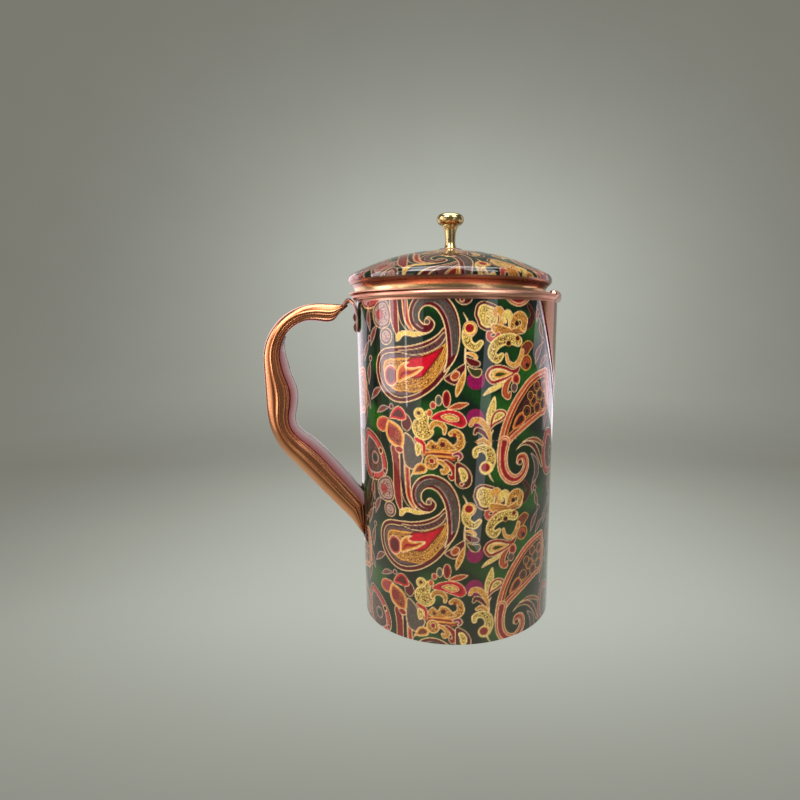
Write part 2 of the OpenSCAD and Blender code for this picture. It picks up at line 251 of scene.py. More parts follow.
def metal(name, light, dark, rough, bump, scale, stretch=None, with_painted_light=False):
    """Polished metal with cloudy tone, uneven polish, fine scratches and small dents."""
    m, nt, bs = new_mat(name)
    bs.inputs["Metallic"].default_value = 1.0
    tone = noise_tex(nt, scale * 0.35, 5, 0.55, stretch, -900, 300)
    cr = ramp(nt, [(0.32, dark), (0.68, light)], -600, 300)
    nt.links.new(tone.outputs["Fac"], cr.inputs["Fac"])
    colour = cr.outputs["Color"]
    # where asked, the mesh's attribute brings the part's colour with painted highlights and painted shade
    if with_painted_light:
        at = node(nt, "ShaderNodeAttribute", -600, 800, attribute_name="colour_and_painted_light")
        mt = node(nt, "ShaderNodeMix", -400, 700, data_type="RGBA", blend_type="MULTIPLY")
        mt.inputs["Factor"].default_value = 1.0
        nt.links.new(colour, mt.inputs["A"])
        nt.links.new(at.outputs["Color"], mt.inputs["B"])
        colour = mt.outputs["Result"]
    nt.links.new(colour, bs.inputs["Base Color"])
    polish = noise_tex(nt, scale * 1.6, 6, 0.65, stretch, -900, 0)
    nt.links.new(mapped(nt, polish.outputs["Fac"], (0.3, 0.75), rough, -600, 0), bs.inputs["Roughness"])
    dents = noise_tex(nt, scale * 0.5, 3, 0.5, stretch, -900, -300)
    scratches = noise_tex(nt, scale * 9, 5, 0.6, stretch, -900, -550)
    both = node(nt, "ShaderNodeMath", -600, -400, operation="MULTIPLY_ADD")
    both.inputs[1].default_value = 0.12
    nt.links.new(scratches.outputs["Fac"], both.inputs[0])
    nt.links.new(dents.outputs["Fac"], both.inputs[2])
    bumped(nt, bs, both.outputs[0], bump, -300, -400)
    return m


COPPER_RIM = metal("copper_rim", (0.86, 0.50, 0.40), (0.66, 0.30, 0.22), (0.16, 0.32), 0.14, 70)
COPPER_IN = metal("copper_inside", (0.74, 0.40, 0.28), (0.50, 0.24, 0.16), (0.28, 0.5), 0.2, 45)
SPOUT_CU = metal("copper_spout", (0.50, 0.23, 0.12), (0.24, 0.09, 0.05), (0.12, 0.26), 0.14, 60, (1, 1, 0.3))
HANDLE_CU = metal("copper_handle", (1.0, 1.0, 1.0), (0.72, 0.66, 0.60), (0.20, 0.36), 0.16, 60,
                  (1, 1, 0.35), with_painted_light=True)
BAND_CU = metal("copper_lid_band", (1.0, 1.0, 1.0), (0.74, 0.68, 0.66), (0.18, 0.32), 0.10, 40,
                (1, 1, 3.0), with_painted_light=True)
DOME_EDGE = metal("copper_dome_edge", (0.36, 0.15, 0.09), (0.20, 0.07, 0.045), (0.22, 0.38), 0.1, 50)
GRIP_CU = metal("copper_finger_plate", (1.0, 1.0, 1.0), (0.80, 0.78, 0.78), (0.26, 0.42), 0.12, 60,
                with_painted_light=True)
GRIP_CU.node_tree.nodes["Principled BSDF"].inputs["Metallic"].default_value = 0.0
DARK_CU = metal("copper_dark", (0.30, 0.14, 0.09), (0.12, 0.055, 0.04), (0.28, 0.5), 0.3, 120)
SOLDER = metal("solder", (0.50, 0.34, 0.24), (0.22, 0.12, 0.08), (0.35, 0.6), 0.5, 160)
TIN = metal("solder_tinned", (0.84, 0.76, 0.80), (0.64, 0.55, 0.60), (0.26, 0.44), 0.25, 120)
BRASS = metal("brass_polished", (0.60, 0.47, 0.22), (0.44, 0.32, 0.13), (0.17, 0.24), 0.006, 26)
STEEL = metal("steel_plain", (0.62, 0.62, 0.62), (0.42, 0.42, 0.43), (0.25, 0.45), 0.2, 120)
WIRE = metal("wire_plain", (0.62, 0.34, 0.24), (0.40, 0.20, 0.14), (0.3, 0.5), 0.2, 120)

for n, m in {"body_wall": COPPER_IN, "body_base": COPPER_IN, "base_braze": SOLDER, "rim_wire": WIRE,
             "spout_wire": WIRE, "spout_shell": SPOUT_CU, "spout_roll": COPPER_RIM,
             "spout_braze": SOLDER, "handle_bracket": DARK_CU, "rivet_upper": DARK_CU,
             "rivet_lower": DARK_CU, "foot_braze": DARK_CU, "lid_dome": DOME_EDGE,
             "lid_skirt": COPPER_IN, "knob_washer": BRASS, "knob_screw": STEEL}.items():
    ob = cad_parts[n]
    ob.data.materials.clear()
    ob.data.materials.append(m)


# ------------------------------------------------------------------ the printed pattern
# One tile of the print, in mm on the unrolled wall: u runs round the jug from the line that
# faces the viewer, v is the height above the table. Three tiles go round the body.
TILE_U, TILE_V, NU, NV = 2 * math.pi * BODY_R / MM / 3, 88.3, 720, 552
CU, CV = TILE_U / NU, TILE_V / NV
tile = np.zeros((NV, NU, 4))


def srgb(r, g, b):
    c = np.array((r, g, b)) / 255.0
    return np.where(c <= 0.04045, c / 12.92, ((c + 0.055) / 1.055) ** 2.4)


CREAM, PALE, YELLOW, GOLD = srgb(250, 208, 150), srgb(206, 166, 146), srgb(252, 216, 110), srgb(236, 166, 70)
ORANGE, PINK, RED, CRIMSON = srgb(204, 88, 44), srgb(188, 66, 62), srgb(150, 12, 22), srgb(200, 6, 36)
MAROON, WINE, MAGENTA, MAUVE = srgb(92, 10, 20), srgb(48, 8, 16), srgb(138, 8, 74), srgb(104, 72, 70)
GREY, BROWN, DARK, TEAL = srgb(84, 84, 74), srgb(136, 60, 26), srgb(20, 10, 10), srgb(8, 62, 46)
GREEN, BRIGHT, DEEP, OLIVE = srgb(8, 42, 12), srgb(24, 84, 6), srgb(3, 20, 13), srgb(56, 60, 22)


def periodic_noise(scale, seed):
    rng = np.random.default_rng(seed)
    out = np.zeros((NV, NU))
    v, u = np.mgrid[0:NV, 0:NU]
    for k in range(26):
        fu, fv = rng.integers(-scale, scale + 1, 2)
        out += np.cos(2 * np.pi * (fu * u / NU + fv * v / NV) + rng.uniform(0, 6.283)) / 5.0
    return out


ground = np.clip(0.5 + 0.5 * periodic_noise(4, 3), 0, 1)[..., None]
patch = np.clip(periodic_noise(3, 11) - 0.25, 0, 1)[..., None]
tile[..., :3] = DEEP * (1 - ground) + GREEN * ground
tile[..., :3] += (BRIGHT - tile[..., :3]) * patch


def window(pts, pad):
    lo, hi = pts.min(0) - pad, pts.max(0) + pad
    j = np.arange(int(lo[0] / CU) - 1, int(hi[0] / CU) + 2)
    i = np.arange(int(lo[1] / CV) - 1, int(hi[1] / CV) + 2)
    uu, vv = np.meshgrid(j * CU, i * CV)
    return i, j, uu, vv


def segments(pts, uu, vv, closed):
    a = pts if closed else pts[:-1]
    b = np.roll(pts, -1, 0) if closed else pts[1:]
    d = b - a
    pu, pv = uu[..., None] - a[:, 0], vv[..., None] - a[:, 1]
    t = np.clip((pu * d[:, 0] + pv * d[:, 1]) / np.maximum((d ** 2).sum(1), 1e-9), 0, 1)
    dist = np.hypot(pu - t * d[:, 0], pv - t * d[:, 1])
    return a, b, d, pu, pv, t, dist


def paint(i, j, depth, bands, speckle=0.0):
    """Lays coloured bands by depth inside an outline; depth is negative outside. A band is a depth
    and a colour, and the last one is a bare colour that fills the rest."""
    bands = [*bands[:-1], (None, bands[-1])]
    ii, jj = np.ix_(i % NV, j % NU)
    base = tile[ii, jj]
    start = 0.0
    if speckle > 0.45:                                  # a fine dark contour inside filled motifs
        ends = [e for e, _ in bands if e is not None]
        inset, fill = (ends[-1] if ends else 0.0), bands[-1][1]
        bands = [*bands[:-1], (inset + 0.50, fill), (inset + 0.74, fill * 0.25), (None, fill)]
    for end, colour in bands:
        alpha = np.clip(0.5 + (depth - start) / CU, 0, 1)[..., None]
        spk = speckle if end is None else 0.0
        base = base * (1 - alpha) + np.array([*colour, spk]) * alpha
        start = end if end is not None else start
    tile[ii, jj] = base


def loop(points, per=6):
    """A smooth closed outline through points."""
    p = np.asarray(points, float)
    n = len(p)
    out = []
    for i in range(n):
        a, b, c, d = p[i - 1], p[i], p[(i + 1) % n], p[(i + 2) % n]
        for k in range(per):
            out.append(between(a, b, c, d, k / per))
    return np.array(out)


def shape(points, *bands, speckle=0.0, per=6):
    pts = loop(points, per)
    i, j, uu, vv = window(pts, 0.6)
    a, b, d, pu, pv, t, dist = segments(pts, uu, vv, True)
    cross = ((a[:, 1] > vv[..., None]) != (b[:, 1] > vv[..., None])) & \
        (pu < d[:, 0] * pv / np.where(np.abs(d[:, 1]) < 1e-12, 1e-12, d[:, 1]))
    inside = cross.sum(-1) % 2 == 1
    dist = dist.min(-1)
    paint(i, j, np.where(inside, dist, -dist), bands, speckle)


def stroke(points, *bands, speckle=0.0, per=8, grow=0.0):
    """A curved leaf or curl: points are (u, v, half width)."""
    run = catmull(points, per)
    pts, w = run[:, :2], np.maximum(run[:, 2], 0.05) + grow
    i, j, uu, vv = window(pts, w.max() + 0.6)
    a, b, d, pu, pv, t, dist = segments(pts, uu, vv, False)
    depth = (w[:-1] * (1 - t) + w[1:] * t) - dist
    paint(i, j, depth.max(-1), bands, speckle)


def disc(u, v, r, *bands, speckle=0.0, tall=1.0):
    a = np.linspace(0, 2 * np.pi, 25)[:-1]
    shape(np.stack([u + r * np.cos(a), v + r * tall * np.sin(a)], 1), *bands, speckle=speckle, per=2)


LINE, THIN, THICK = (0.32, CREAM), (0.4, CREAM), (0.5, CREAM)       # outlines


def round_paisley():
    """Round pale paisley at the left and the strips beside it."""
    shape([(-58, 111), (-52, 111), (-46, 108), (-41, 102.5), (-38.6, 96), (-39, 90.5), (-43, 86.5),
        (-50, 84.8), (-57, 86), (-61, 92), (-62, 102)], LINE, (1.2, MAROON), (3.6, PINK), (4.2, PALE),
        GREY, speckle=0.9)
    disc(-49, 97, 3.4, (0.5, PALE), (1.4, MAUVE), TEAL)
    disc(-43.5, 101.5, 1.8, THIN, MAROON)


def stems():
    """Stems that run down past the curl."""
    stroke([(-33.5, 104, 2.4), (-32.2, 97, 2.5), (-32, 88, 2.6), (-31.5, 79, 2.4), (-30, 72.5, 1.2)],
        THIN, RED, speckle=0.8)
    stroke([(-29, 104, 1.2), (-28.7, 96, 1.4), (-28.4, 88, 1.5), (-27, 79, 1.3), (-23, 73.5, 0.6)],
        (0.3, CREAM), WINE)
    stroke([(-25.6, 96, 1.4), (-25.4, 88, 1.6), (-24.6, 80, 1.5), (-21.5, 74.5, 0.8)], THIN,
        (1.0, ORANGE), RED, speckle=0.6)


def bouquet_left():
    """Gold flowers of the bouquet, left."""
    shape([(-27, 112.5), (-22.5, 110.5), (-19.5, 105), (-16.5, 100.5), (-21, 94.5), (-26.5, 96),
        (-28, 103)], THICK, (1.6, MAUVE), GREY, speckle=0.4)
    shape([(-27.5, 122.5), (-24, 121), (-22.6, 117), (-25, 113.6), (-28.5, 116)], LINE, MAROON)
    shape([(-36, 119.5), (-34, 123.5), (-30.5, 125.8), (-27, 124), (-25.6, 120), (-28.5, 118.6),
        (-32, 119)], LINE, (1.5, CRIMSON), MAROON, speckle=0.6)
    shape([(-46.4, 114.5), (-45, 118.3), (-40.5, 119.8), (-36, 118.6), (-37, 115), (-40, 112),
        (-44, 112.4)], LINE, (1.3, ORANGE), PINK, speckle=0.7)
    shape([(-37.5, 118), (-33, 117.5), (-28.6, 114.5), (-27, 109.5), (-28.6, 104.6), (-33, 105),
        (-37.6, 108), (-39.2, 113)], LINE, (1.4, GOLD), ORANGE, speckle=1.0)
    disc(-35, 112.2, 2.4, (0.35, WINE), RED, tall=1.15)
    disc(-31.2, 108, 0.9, MAROON)
    shape([(-33, 104.8), (-30, 105.8), (-27.5, 104), (-29, 102), (-32, 102.6)], THIN, RED)
    shape([(-21.5, 111), (-17.5, 110.6), (-15, 107), (-15.6, 102), (-17.2, 103), (-17.4, 107),
        (-20.5, 108.6)], (0.35, CREAM), CRIMSON)
    shape([(-20.6, 108.2), (-17.6, 107), (-17.8, 103), (-20, 101.5), (-21, 104.5)], THIN, YELLOW,
        speckle=0.8)
    shape([(-21, 96.5), (-17.5, 98.2), (-14.6, 96.5), (-15.2, 93.5), (-19, 92.2), (-22.6, 91.6),
        (-24.5, 88.5)], THIN, (1.3, GOLD), BROWN, speckle=0.4)


def bouquet_middle():
    """Bouquet, middle."""
    shape([(-22.6, 116), (-21, 119.6), (-17.8, 121), (-15, 124.4), (-13.4, 121.5), (-13.6, 117.5),
        (-11, 114.5), (-12.6, 111.2), (-16.5, 109.6), (-21, 111.8)], LINE, YELLOW, speckle=1.0)
    disc(-18.6, 122.8, 2.9, LINE, YELLOW, speckle=0.5)
    disc(-18.8, 123, 1.1, MAROON)
    stroke([(-12.6, 115.5, 1.2), (-11.4, 117.8, 1.5), (-8.6, 118.4, 1.6), (-6, 116.4, 1.4),
        (-5.9, 113.4, 0.9)], LINE, GOLD, speckle=0.8)
    shape([(-12.8, 120.4), (-9.4, 123.6), (-4, 125), (1, 124.2), (4, 121.6), (5, 118), (2.4, 116),
        (-1, 117), (-5, 118.4), (-9, 119.4)], LINE, (1.7, CRIMSON), RED)
    shape([(-7.6, 121.8), (-3.4, 123.2), (0.6, 121.8), (1, 119.6), (-2.6, 118.9), (-5.6, 120)],
        (0.35, CREAM), (1.0, ORANGE), YELLOW, speckle=0.9)
    for u, v, r, k, c in ((-13.2, 123.2, 1.5, 1.3, ORANGE), (-11.4, 127, 1.6, 1.2, PINK),
        (-8.6, 129.4, 1.7, 1.6, GREY), (-4.8, 130.2, 2.1, 2.0, RED)):
        disc(u, v, r, LINE, (1.1, c), c * 0.7, tall=k, speckle=0.5)
    shape([(-4.4, 125.3), (-1, 127.8), (2.6, 128.6), (6, 127.9), (3.2, 125.9), (0, 125)], LINE, ORANGE,
        speckle=0.7)
    stroke([(-2.8, 113.2, 1.3), (-0.6, 114.2, 1.6), (1.8, 112, 1.8), (2, 108, 2.1), (-1, 105.8, 2.1),
        (-5, 105.6, 1.4)], LINE, GOLD, speckle=0.9)
    disc(-0.9, 112.6, 0.9, RED)
    shape([(-15.4, 106), (-12.6, 110), (-9.8, 108.4), (-8, 111), (-5, 110.6), (-2.4, 108.2), (0, 105.4),
        (-6, 104.4), (-12, 104.4)], LINE, GOLD, speckle=0.8)
    disc(-11.5, 106.4, 0.95, MAROON)
    disc(-6.8, 107.8, 1.35, MAROON)
    for k in range(4):
        v = 103.9 - 1.1 * k
        stroke([(-17 + k, v - 0.6, 0.3), (-12, v + 0.2, 0.7), (-5, v + 0.1, 0.7),
            (2.2 - k, v - 0.6, 0.25)], (0.3, ORANGE), MAROON if k % 2 else GOLD)
    stroke([(-1.4, 102.8, 0.9), (1, 103.4, 1.2), (2.2, 101.8, 1.1), (1.2, 100.4, 0.8)], THIN, MAGENTA)
    disc(-12.4, 98.9, 3.7, LINE, GOLD, speckle=0.9, tall=1.05)
    disc(-12.3, 99.4, 1.6, (0.3, CREAM), RED)
    stroke([(-9, 99.6, 1.0), (-6, 98.2, 1.4), (-4.6, 95.6, 1.6), (-6.2, 93.8, 1.3), (-7.4, 95, 0.8)],
        LINE, GOLD, speckle=0.5)
    stroke([(-5.4, 99.6, 0.9), (-2.4, 97, 1.4), (-0.8, 93.2, 1.6), (-2.2, 91, 1.3), (-3.6, 92.4, 0.8)],
        LINE, RED, speckle=0.3)
    shape([(-0.4, 99), (3.4, 98), (6.4, 95), (7.8, 91), (6.8, 87), (3, 85.6), (-0.4, 88), (-0.8, 92)],
        LINE, (1.9, MAROON), OLIVE)
    shape([(1, 96), (3.6, 96), (5.6, 92.6), (4.8, 89.4), (2.4, 89.6), (1.6, 92.6)], THIN, YELLOW,
        speckle=0.8)
    disc(2.6, 88, 1.2, THIN, RED)


def curled_leaves():
    """Curled leaves beside the bouquet."""
    disc(9.2, 120.8, 4.5, MAGENTA)
    disc(9.4, 138.9, 4.4, MAGENTA)
    shape([(18.9, 131.2), (16.4, 127.5), (14.6, 122), (15.2, 118), (17.2, 117.6), (19, 121.5),
        (19.8, 126.5)], THIN, YELLOW, speckle=0.6)
    shape([(16.4, 114.6), (16.6, 119.4), (18.4, 123.4), (21.6, 124.8), (25, 123.8), (25.8, 121),
        (23, 118.6), (19.4, 117)], (0.45, CREAM), (1.4, RED), (1.8, CREAM), YELLOW, speckle=0.9)
    stroke([(18.2, 114.4, 0.3), (17, 111.6, 0.5), (17, 107, 0.7)], CREAM)
    stroke([(7, 117.6, 1.1), (8.6, 119.8, 1.4), (12, 119.2, 1.6), (14.8, 116, 1.5), (16.2, 112, 1.2),
        (16.5, 107, 0.8)], LINE, GOLD, speckle=0.4)
    stroke([(9, 113.4, 1.0), (10, 115, 1.3), (12.8, 113.8, 1.4), (15.4, 110.6, 0.9)], LINE, MAROON)
    stroke([(10.8, 109, 1.1), (13, 109.8, 1.3), (15.4, 108, 1.2), (17, 105.6, 0.8)], LINE, GOLD,
        speckle=0.6)
    stroke([(9.4, 102.4, 1.4), (9.7, 104.7, 1.8), (13, 105.8, 2.0), (16.4, 103.8, 2.5), (17.4, 99.6, 2.7),
        (15.6, 96, 3.2)], LINE, YELLOW, speckle=1.0)
    disc(14.8, 95.8, 3.5, LINE, YELLOW)
    disc(14.5, 96, 2.3, (0.3, PINK), RED)
    stroke([(16.4, 92.6, 0.5), (17.4, 90.4, 0.35), (19, 88.2, 0.1)], CREAM)
    stroke([(3.2, 170.4, 0.1), (4.8, 167.6, 0.35), (5.4, 165.4, 0.6)], CREAM)
    stroke([(6.4, 163, 3.4), (4.9, 159.8, 2.5), (5.8, 156.2, 2.2), (9, 154.5, 1.9), (11.6, 156.6, 1.4)],
        LINE, YELLOW, speckle=1.0)
    disc(6.4, 163.2, 3.5, LINE, (0.7, ORANGE), YELLOW)
    disc(6.2, 163.4, 2.1, (0.3, PINK), RED)
    stroke([(4.2, 154, 0.4), (4.1, 149, 0.45), (4.2, 143, 0.4)], CREAM)
    stroke([(4.6, 151.8, 0.5), (7.4, 151.4, 1.0), (9.4, 149.8, 0.9), (8.4, 148.6, 0.6)], (0.35, CREAM),
        GOLD)
    shape([(4.4, 150), (7.6, 149.4), (11.4, 147.6), (10.6, 145.4), (7, 145.6), (4.8, 147.6)], LINE,
        MAROON)
    shape([(5, 145.8), (8.4, 144.6), (11.8, 144.4), (12.2, 142), (10, 140.2), (7, 141.6)], LINE, OLIVE)
    shape([(-6, 140), (-3, 142.4), (0.4, 145), (4.2, 147), (4, 143), (2.6, 139.4), (-0.6, 136.9),
        (-4, 138)], LINE, MAROON)
    shape([(-3, 141), (-0.6, 143.6), (1.6, 142.6), (1, 139.8), (-1.6, 138.8)], THIN, ORANGE, speckle=0.8)
    shape([(4.3, 144), (4.2, 139), (2.6, 134.6), (0, 131), (-0.6, 134.4), (1, 139.4)], LINE, GOLD,
        speckle=0.8)


def right_column():
    """Right hand column: flower, gold leaves and curls."""
    stroke([(35, 163.5, 2.0), (39, 166, 2.2), (41, 170, 1.6), (38, 174, 1.2)], (0.35, BROWN), WINE,
        speckle=0.5)
    shape([(8.4, 169.6), (9.4, 174), (12.6, 175.9), (16.6, 175), (20.4, 173), (21.6, 168), (20, 163.8),
        (15, 162), (10.8, 163.8), (9.6, 166.6)], LINE, (1.5, MAROON), (1.9, CREAM), YELLOW, speckle=0.7)
    stroke([(21.6, 165, 1.4), (22.4, 168.8, 1.8), (20.6, 171.8, 1.8), (18.2, 170.6, 1.4),
        (19, 168.8, 0.9)], LINE, GOLD, speckle=0.3)
    stroke([(27, 163.4, 1.4), (27, 167.6, 1.8), (25.2, 170.2, 1.9), (23, 168.4, 1.4), (24, 166.4, 0.9)],
        LINE, YELLOW, speckle=0.3)
    shape([(17, 165.6), (21, 165.4), (25, 164.2), (29, 163.6), (34, 165.6), (37, 164.4), (35.6, 161.2),
        (30, 160.2), (24, 159.6), (19, 160.4), (16.6, 162.8)], THIN, GOLD, speckle=0.5)
    for k in range(3):
        stroke([(19, 164.2 - 1.3 * k, 0.15), (25, 163 - k, 0.28), (31, 162.6 - 0.8 * k, 0.25),
            (35, 163.4 - k, 0.1)], BROWN)
    stroke([(27.6, 164, 1.5), (29.4, 168, 2.0), (32.6, 169.4, 2.2), (35.4, 167.2, 2.2),
        (34.6, 163.6, 1.8)], LINE, GOLD, speckle=0.9)
    disc(30.6, 165.7, 1.6, (0.3, GOLD), WINE)
    stroke([(20.4, 160.4, 1.3), (18.6, 158.2, 1.5), (16, 158.6, 1.5), (15.4, 161, 1.2), (17, 161.4, 0.8)],
        LINE, PINK)
    stroke([(31.6, 157.2, 2.6), (27.4, 158.4, 2.8), (22.4, 157.8, 2.8), (18.6, 155.2, 2.6),
        (17.2, 151.4, 2.2), (19.8, 148.9, 2.1), (22.4, 150.6, 1.3)], LINE, YELLOW, speckle=1.0)
    disc(26, 156.4, 1.6, (0.3, GOLD), WINE)
    disc(31.2, 158.6, 1.6, (0.4, GOLD), MAROON)
    shape([(33, 151), (34, 155.4), (38.4, 157.6), (42, 155.4), (39.6, 152.4), (36.6, 149.6)], (0.4, GOLD),
        BROWN, speckle=0.7)
    disc(37.2, 146.8, 3.9, (0.45, GOLD), (1.6, BROWN), ORANGE, speckle=0.9)
    disc(38, 145.6, 1.3, WINE)
    stroke([(24.8, 151, 0.8), (26, 147.4, 1.1), (29.4, 145.8, 1.3), (32.6, 148, 1.5), (34.4, 152.4, 1.4)],
        (0.35, CREAM), GOLD, speckle=0.4)
    shape([(13.9, 141), (15.6, 144.8), (20, 146.3), (25, 145.4), (29, 144), (33.4, 146), (31.8, 142),
        (27.6, 140), (22, 137.8), (17, 137)], LINE, (1.7, RED), (2.1, CREAM), YELLOW, speckle=0.9)
    shape([(17.4, 141.4), (20.4, 143.8), (25.4, 143), (28.6, 142), (24, 140), (19.6, 139.4)], THIN,
        (1.2, GOLD), OLIVE)
    shape([(12.8, 131.6), (15.6, 135), (20, 137), (25, 138.9), (27.6, 140.4), (24.6, 136.8), (20, 134.2),
        (16, 132.6)], THIN, YELLOW, speckle=0.3)
    disc(30.8, 139, 2.5, LINE, (1.1, ORANGE), RED, speckle=0.5, tall=1.2)
    disc(29.8, 135, 2.0, LINE, MAUVE, speckle=0.3, tall=1.2)
    stroke([(27.8, 139.6, 0.9), (25.2, 136.6, 1.7), (24.4, 132.6, 1.8), (26.4, 130.6, 1.5),
        (27.4, 132.6, 0.8)], LINE, ORANGE, speckle=0.5)


def small_leaves():
    """Small leaves that fill the ground."""
    for u, v, ang, ln in ((46, 171, 70, 5), (49, 163, 110, 5), (47, 151, 60, 6), (52, 147, 40, 5),
        (-42, 172, 80, 6), (-47, 160, 60, 6), (-41, 123, 20, 5), (-46, 131, 35, 6), (-58, 118, 70, 6),
        (-54, 128, 110, 6), (-52, 141, 80, 6), (-55, 152, 60, 6), (-51, 168, 95, 6)):
        c, s = math.cos(math.radians(ang)), math.sin(math.radians(ang))
        stroke([(u - c * ln, v - s * ln, 0.2), (u - s * 0.8, v + c * 0.8, ln * 0.32),
            (u + c * ln, v + s * ln, 0.2)], (0.4, PALE), (1.1, MAUVE), BROWN, speckle=0.8)
        disc(u + c * (ln + 1.6), v + s * (ln + 1.6), 1.5, (0.4, PALE), MAROON)
    disc(-37.4, 159.6, 4.2, LINE, (1.6, MAUVE), PALE, speckle=0.9)
    shape([(-47, 172), (-43, 176), (-37, 176.6), (-34, 171), (-35, 165), (-41, 163.4), (-46, 166)], LINE,
        (1.5, MAUVE), PALE, speckle=1.0)
    disc(-41.5, 170, 2.6, (0.4, MAROON), PINK, speckle=0.5)


def right_paisley():
    """Big paisley of the right hand column, turned upside down."""
    shape([(57, 142.6), (50, 143), (43.4, 141.2), (38, 138.2), (34, 134.4), (30, 129.8), (26.6, 124.4),
        (23.8, 118.4), (21.8, 112), (20.8, 106), (20.5, 100), (24, 99), (26, 104), (30, 108.8),
        (36, 112.6), (42, 115.6), (49, 118.4), (56, 120.4), (59, 131)], THICK, (2.3, ORANGE),
        (2.7, CREAM), (4.0, RED), (4.4, GOLD), (5.2, WINE), DARK, speckle=0.8)
    shape([(29.4, 114.4), (31.6, 120.4), (35.6, 122.4), (38, 118.8), (35, 115.4)], (0.5, GOLD),
        (1.4, ORANGE), WINE, speckle=0.5)
    for u, v, r, c in ((38.6, 122.6, 3.0, WINE), (43.6, 127.6, 3.2, BROWN), (49, 130.4, 3.4, GREY),
        (47, 123.6, 3.0, MAROON), (41, 130.2, 2.4, WINE), (52.6, 125, 3, WINE), (53, 134, 3, BROWN),
        (46, 134.6, 2.6, MAROON)):
        disc(u, v, r, (0.4, GOLD), (1.3, c), (1.7, BROWN), DARK, speckle=0.6)
    spiral = [(24.6, 108, 3.4), (23.6, 101.4, 3.0), (24.2, 94.6, 3.0), (27.2, 89.8, 3.0), (32, 88, 2.7),
        (36.6, 90.2, 2.5), (38.9, 94.6, 2.3), (37.6, 98.9, 2.0), (34.4, 99.6, 1.7), (33.4, 97.2, 1.5)]
    stroke(spiral, THICK, (1.3, ORANGE), (1.7, CREAM), PINK, speckle=0.6)
    stroke([(u, v, w * 0.28) for u, v, w in spiral], RED)
    disc(34.6, 96.8, 1.7, (0.35, CREAM), MAROON)
    stroke([(31.8, 103.4, 0.1), (35.6, 105.8, 0.7), (41, 105.8, 1.3), (46, 102.8, 1.6), (50, 97.6, 1.4),
        (53, 92, 1.0)], THIN, MAROON, speckle=0.3)
    stroke([(36, 107.2, 0.1), (42, 107.8, 0.9), (48, 106.4, 1.2), (54, 103, 0.9)], (0.35, CREAM), BROWN)
    stroke([(43, 100, 0.5), (47, 95, 1.8), (48, 89, 2.2), (45, 85, 1.0)], (0.4, PALE), GREY, speckle=0.7)


def left_paisley():
    """Big paisley of the left hand column."""
    tail = [(-5.8, 143.2, 0.4), (-3.3, 147.6, 1.7), (-1.9, 152.6, 2.7), (-1.6, 158, 3.3),
        (-1.9, 164, 3.7), (-3.6, 170, 3.9), (-7.2, 175, 3.9), (-12.4, 177.2, 3.7), (-17.4, 175.8, 3.3),
        (-20.4, 171.6, 3.0), (-20.2, 166.8, 2.7), (-17.2, 163.7, 2.4), (-13.6, 163.3, 2.1),
        (-11.9, 165.3, 1.8), (-13.4, 167.2, 1.6)]
    shape([(0.9, 156), (-0.6, 150.4), (-2.8, 145.4), (-5.6, 141), (-9, 136.9), (-13, 133.4), (-18, 130.3),
        (-23, 128.4), (-28, 127.5), (-33, 128), (-38, 130.4), (-41.6, 133.6), (-44, 137.4), (-45.3, 142),
        (-45, 147), (-42.6, 151.4), (-38, 153.9), (-31, 154.7), (-24, 155.2), (-18, 156.4), (-13, 158.2),
        (-9, 160.6), (-5.6, 164), (-2, 163)], THICK, (2.5, MAROON), (2.9, CREAM), (3.6, DARK),
        (5.6, MAUVE), (6.0, GOLD), GOLD, speckle=1.0)
    stroke([(-29, 152.6, 0.6), (-22, 152.2, 1.4), (-15, 153.4, 1.7), (-9, 156.4, 1.7),
        (-5.6, 160.4, 1.2)], (0.3, CREAM), MAUVE, speckle=1.0)
    stroke([(-27, 134.6, 1.6), (-20, 135.2, 2.3), (-13.4, 138.8, 2.1), (-8.6, 144.4, 1.7),
        (-5.6, 150.6, 1.3), (-4, 157, 0.7)], (0.3, WINE), GOLD, speckle=1.0)
    shape([(-6, 155), (-8.4, 150.2), (-12.6, 144.8), (-16.6, 140.4), (-22, 139.6), (-27, 142),
        (-25.6, 146.6), (-22.6, 149.8), (-16, 150.8), (-10.4, 153)], (0.35, WINE), (1.1, RED), CRIMSON)
    disc(-34.6, 140.6, 4.6, THICK, (1.6, PINK), MAROON, speckle=0.4, tall=1.15)
    shape([(-31, 138.4), (-30.6, 143.6), (-27.6, 146.8), (-23.4, 147.6), (-25.4, 145.6), (-22.6, 144.8),
        (-15.8, 145.4), (-19.4, 141.8), (-24.6, 139.4), (-29, 137.4)], THICK, (1.3, GOLD), ORANGE,
        speckle=0.3)
    stroke([(-28.6, 139.6, 0.3), (-27, 142, 0.7), (-22.6, 142.6, 0.6), (-18.4, 144.4, 0.2)], RED)
    shape([(-31, 157.4), (-30.4, 160.8), (-26, 162.4), (-20, 161.8), (-12.6, 161.4), (-20, 159.4),
        (-26, 160), (-28.8, 157.6)], THIN, YELLOW, speckle=0.4)
    stroke(tail, THICK, (2.2, MAROON), (2.5, PALE), MAUVE, speckle=0.3)
    stroke([(u + 0.9, v - 0.2, w * 0.42) for u, v, w in tail[2:11]], GREY, speckle=0.7)
    disc(-14, 166.4, 1.5, (0.3, CREAM), MAUVE)
    for k in range(7):
        t = k / 6
        disc(-24 + 13.5 * t, 151.7 + 3.3 * t * t + 0.6 * t, 0.5, DARK)


for motif in (round_paisley, stems, bouquet_left, bouquet_middle, curled_leaves,
              right_column, small_leaves, right_paisley, left_paisley):
    motif()


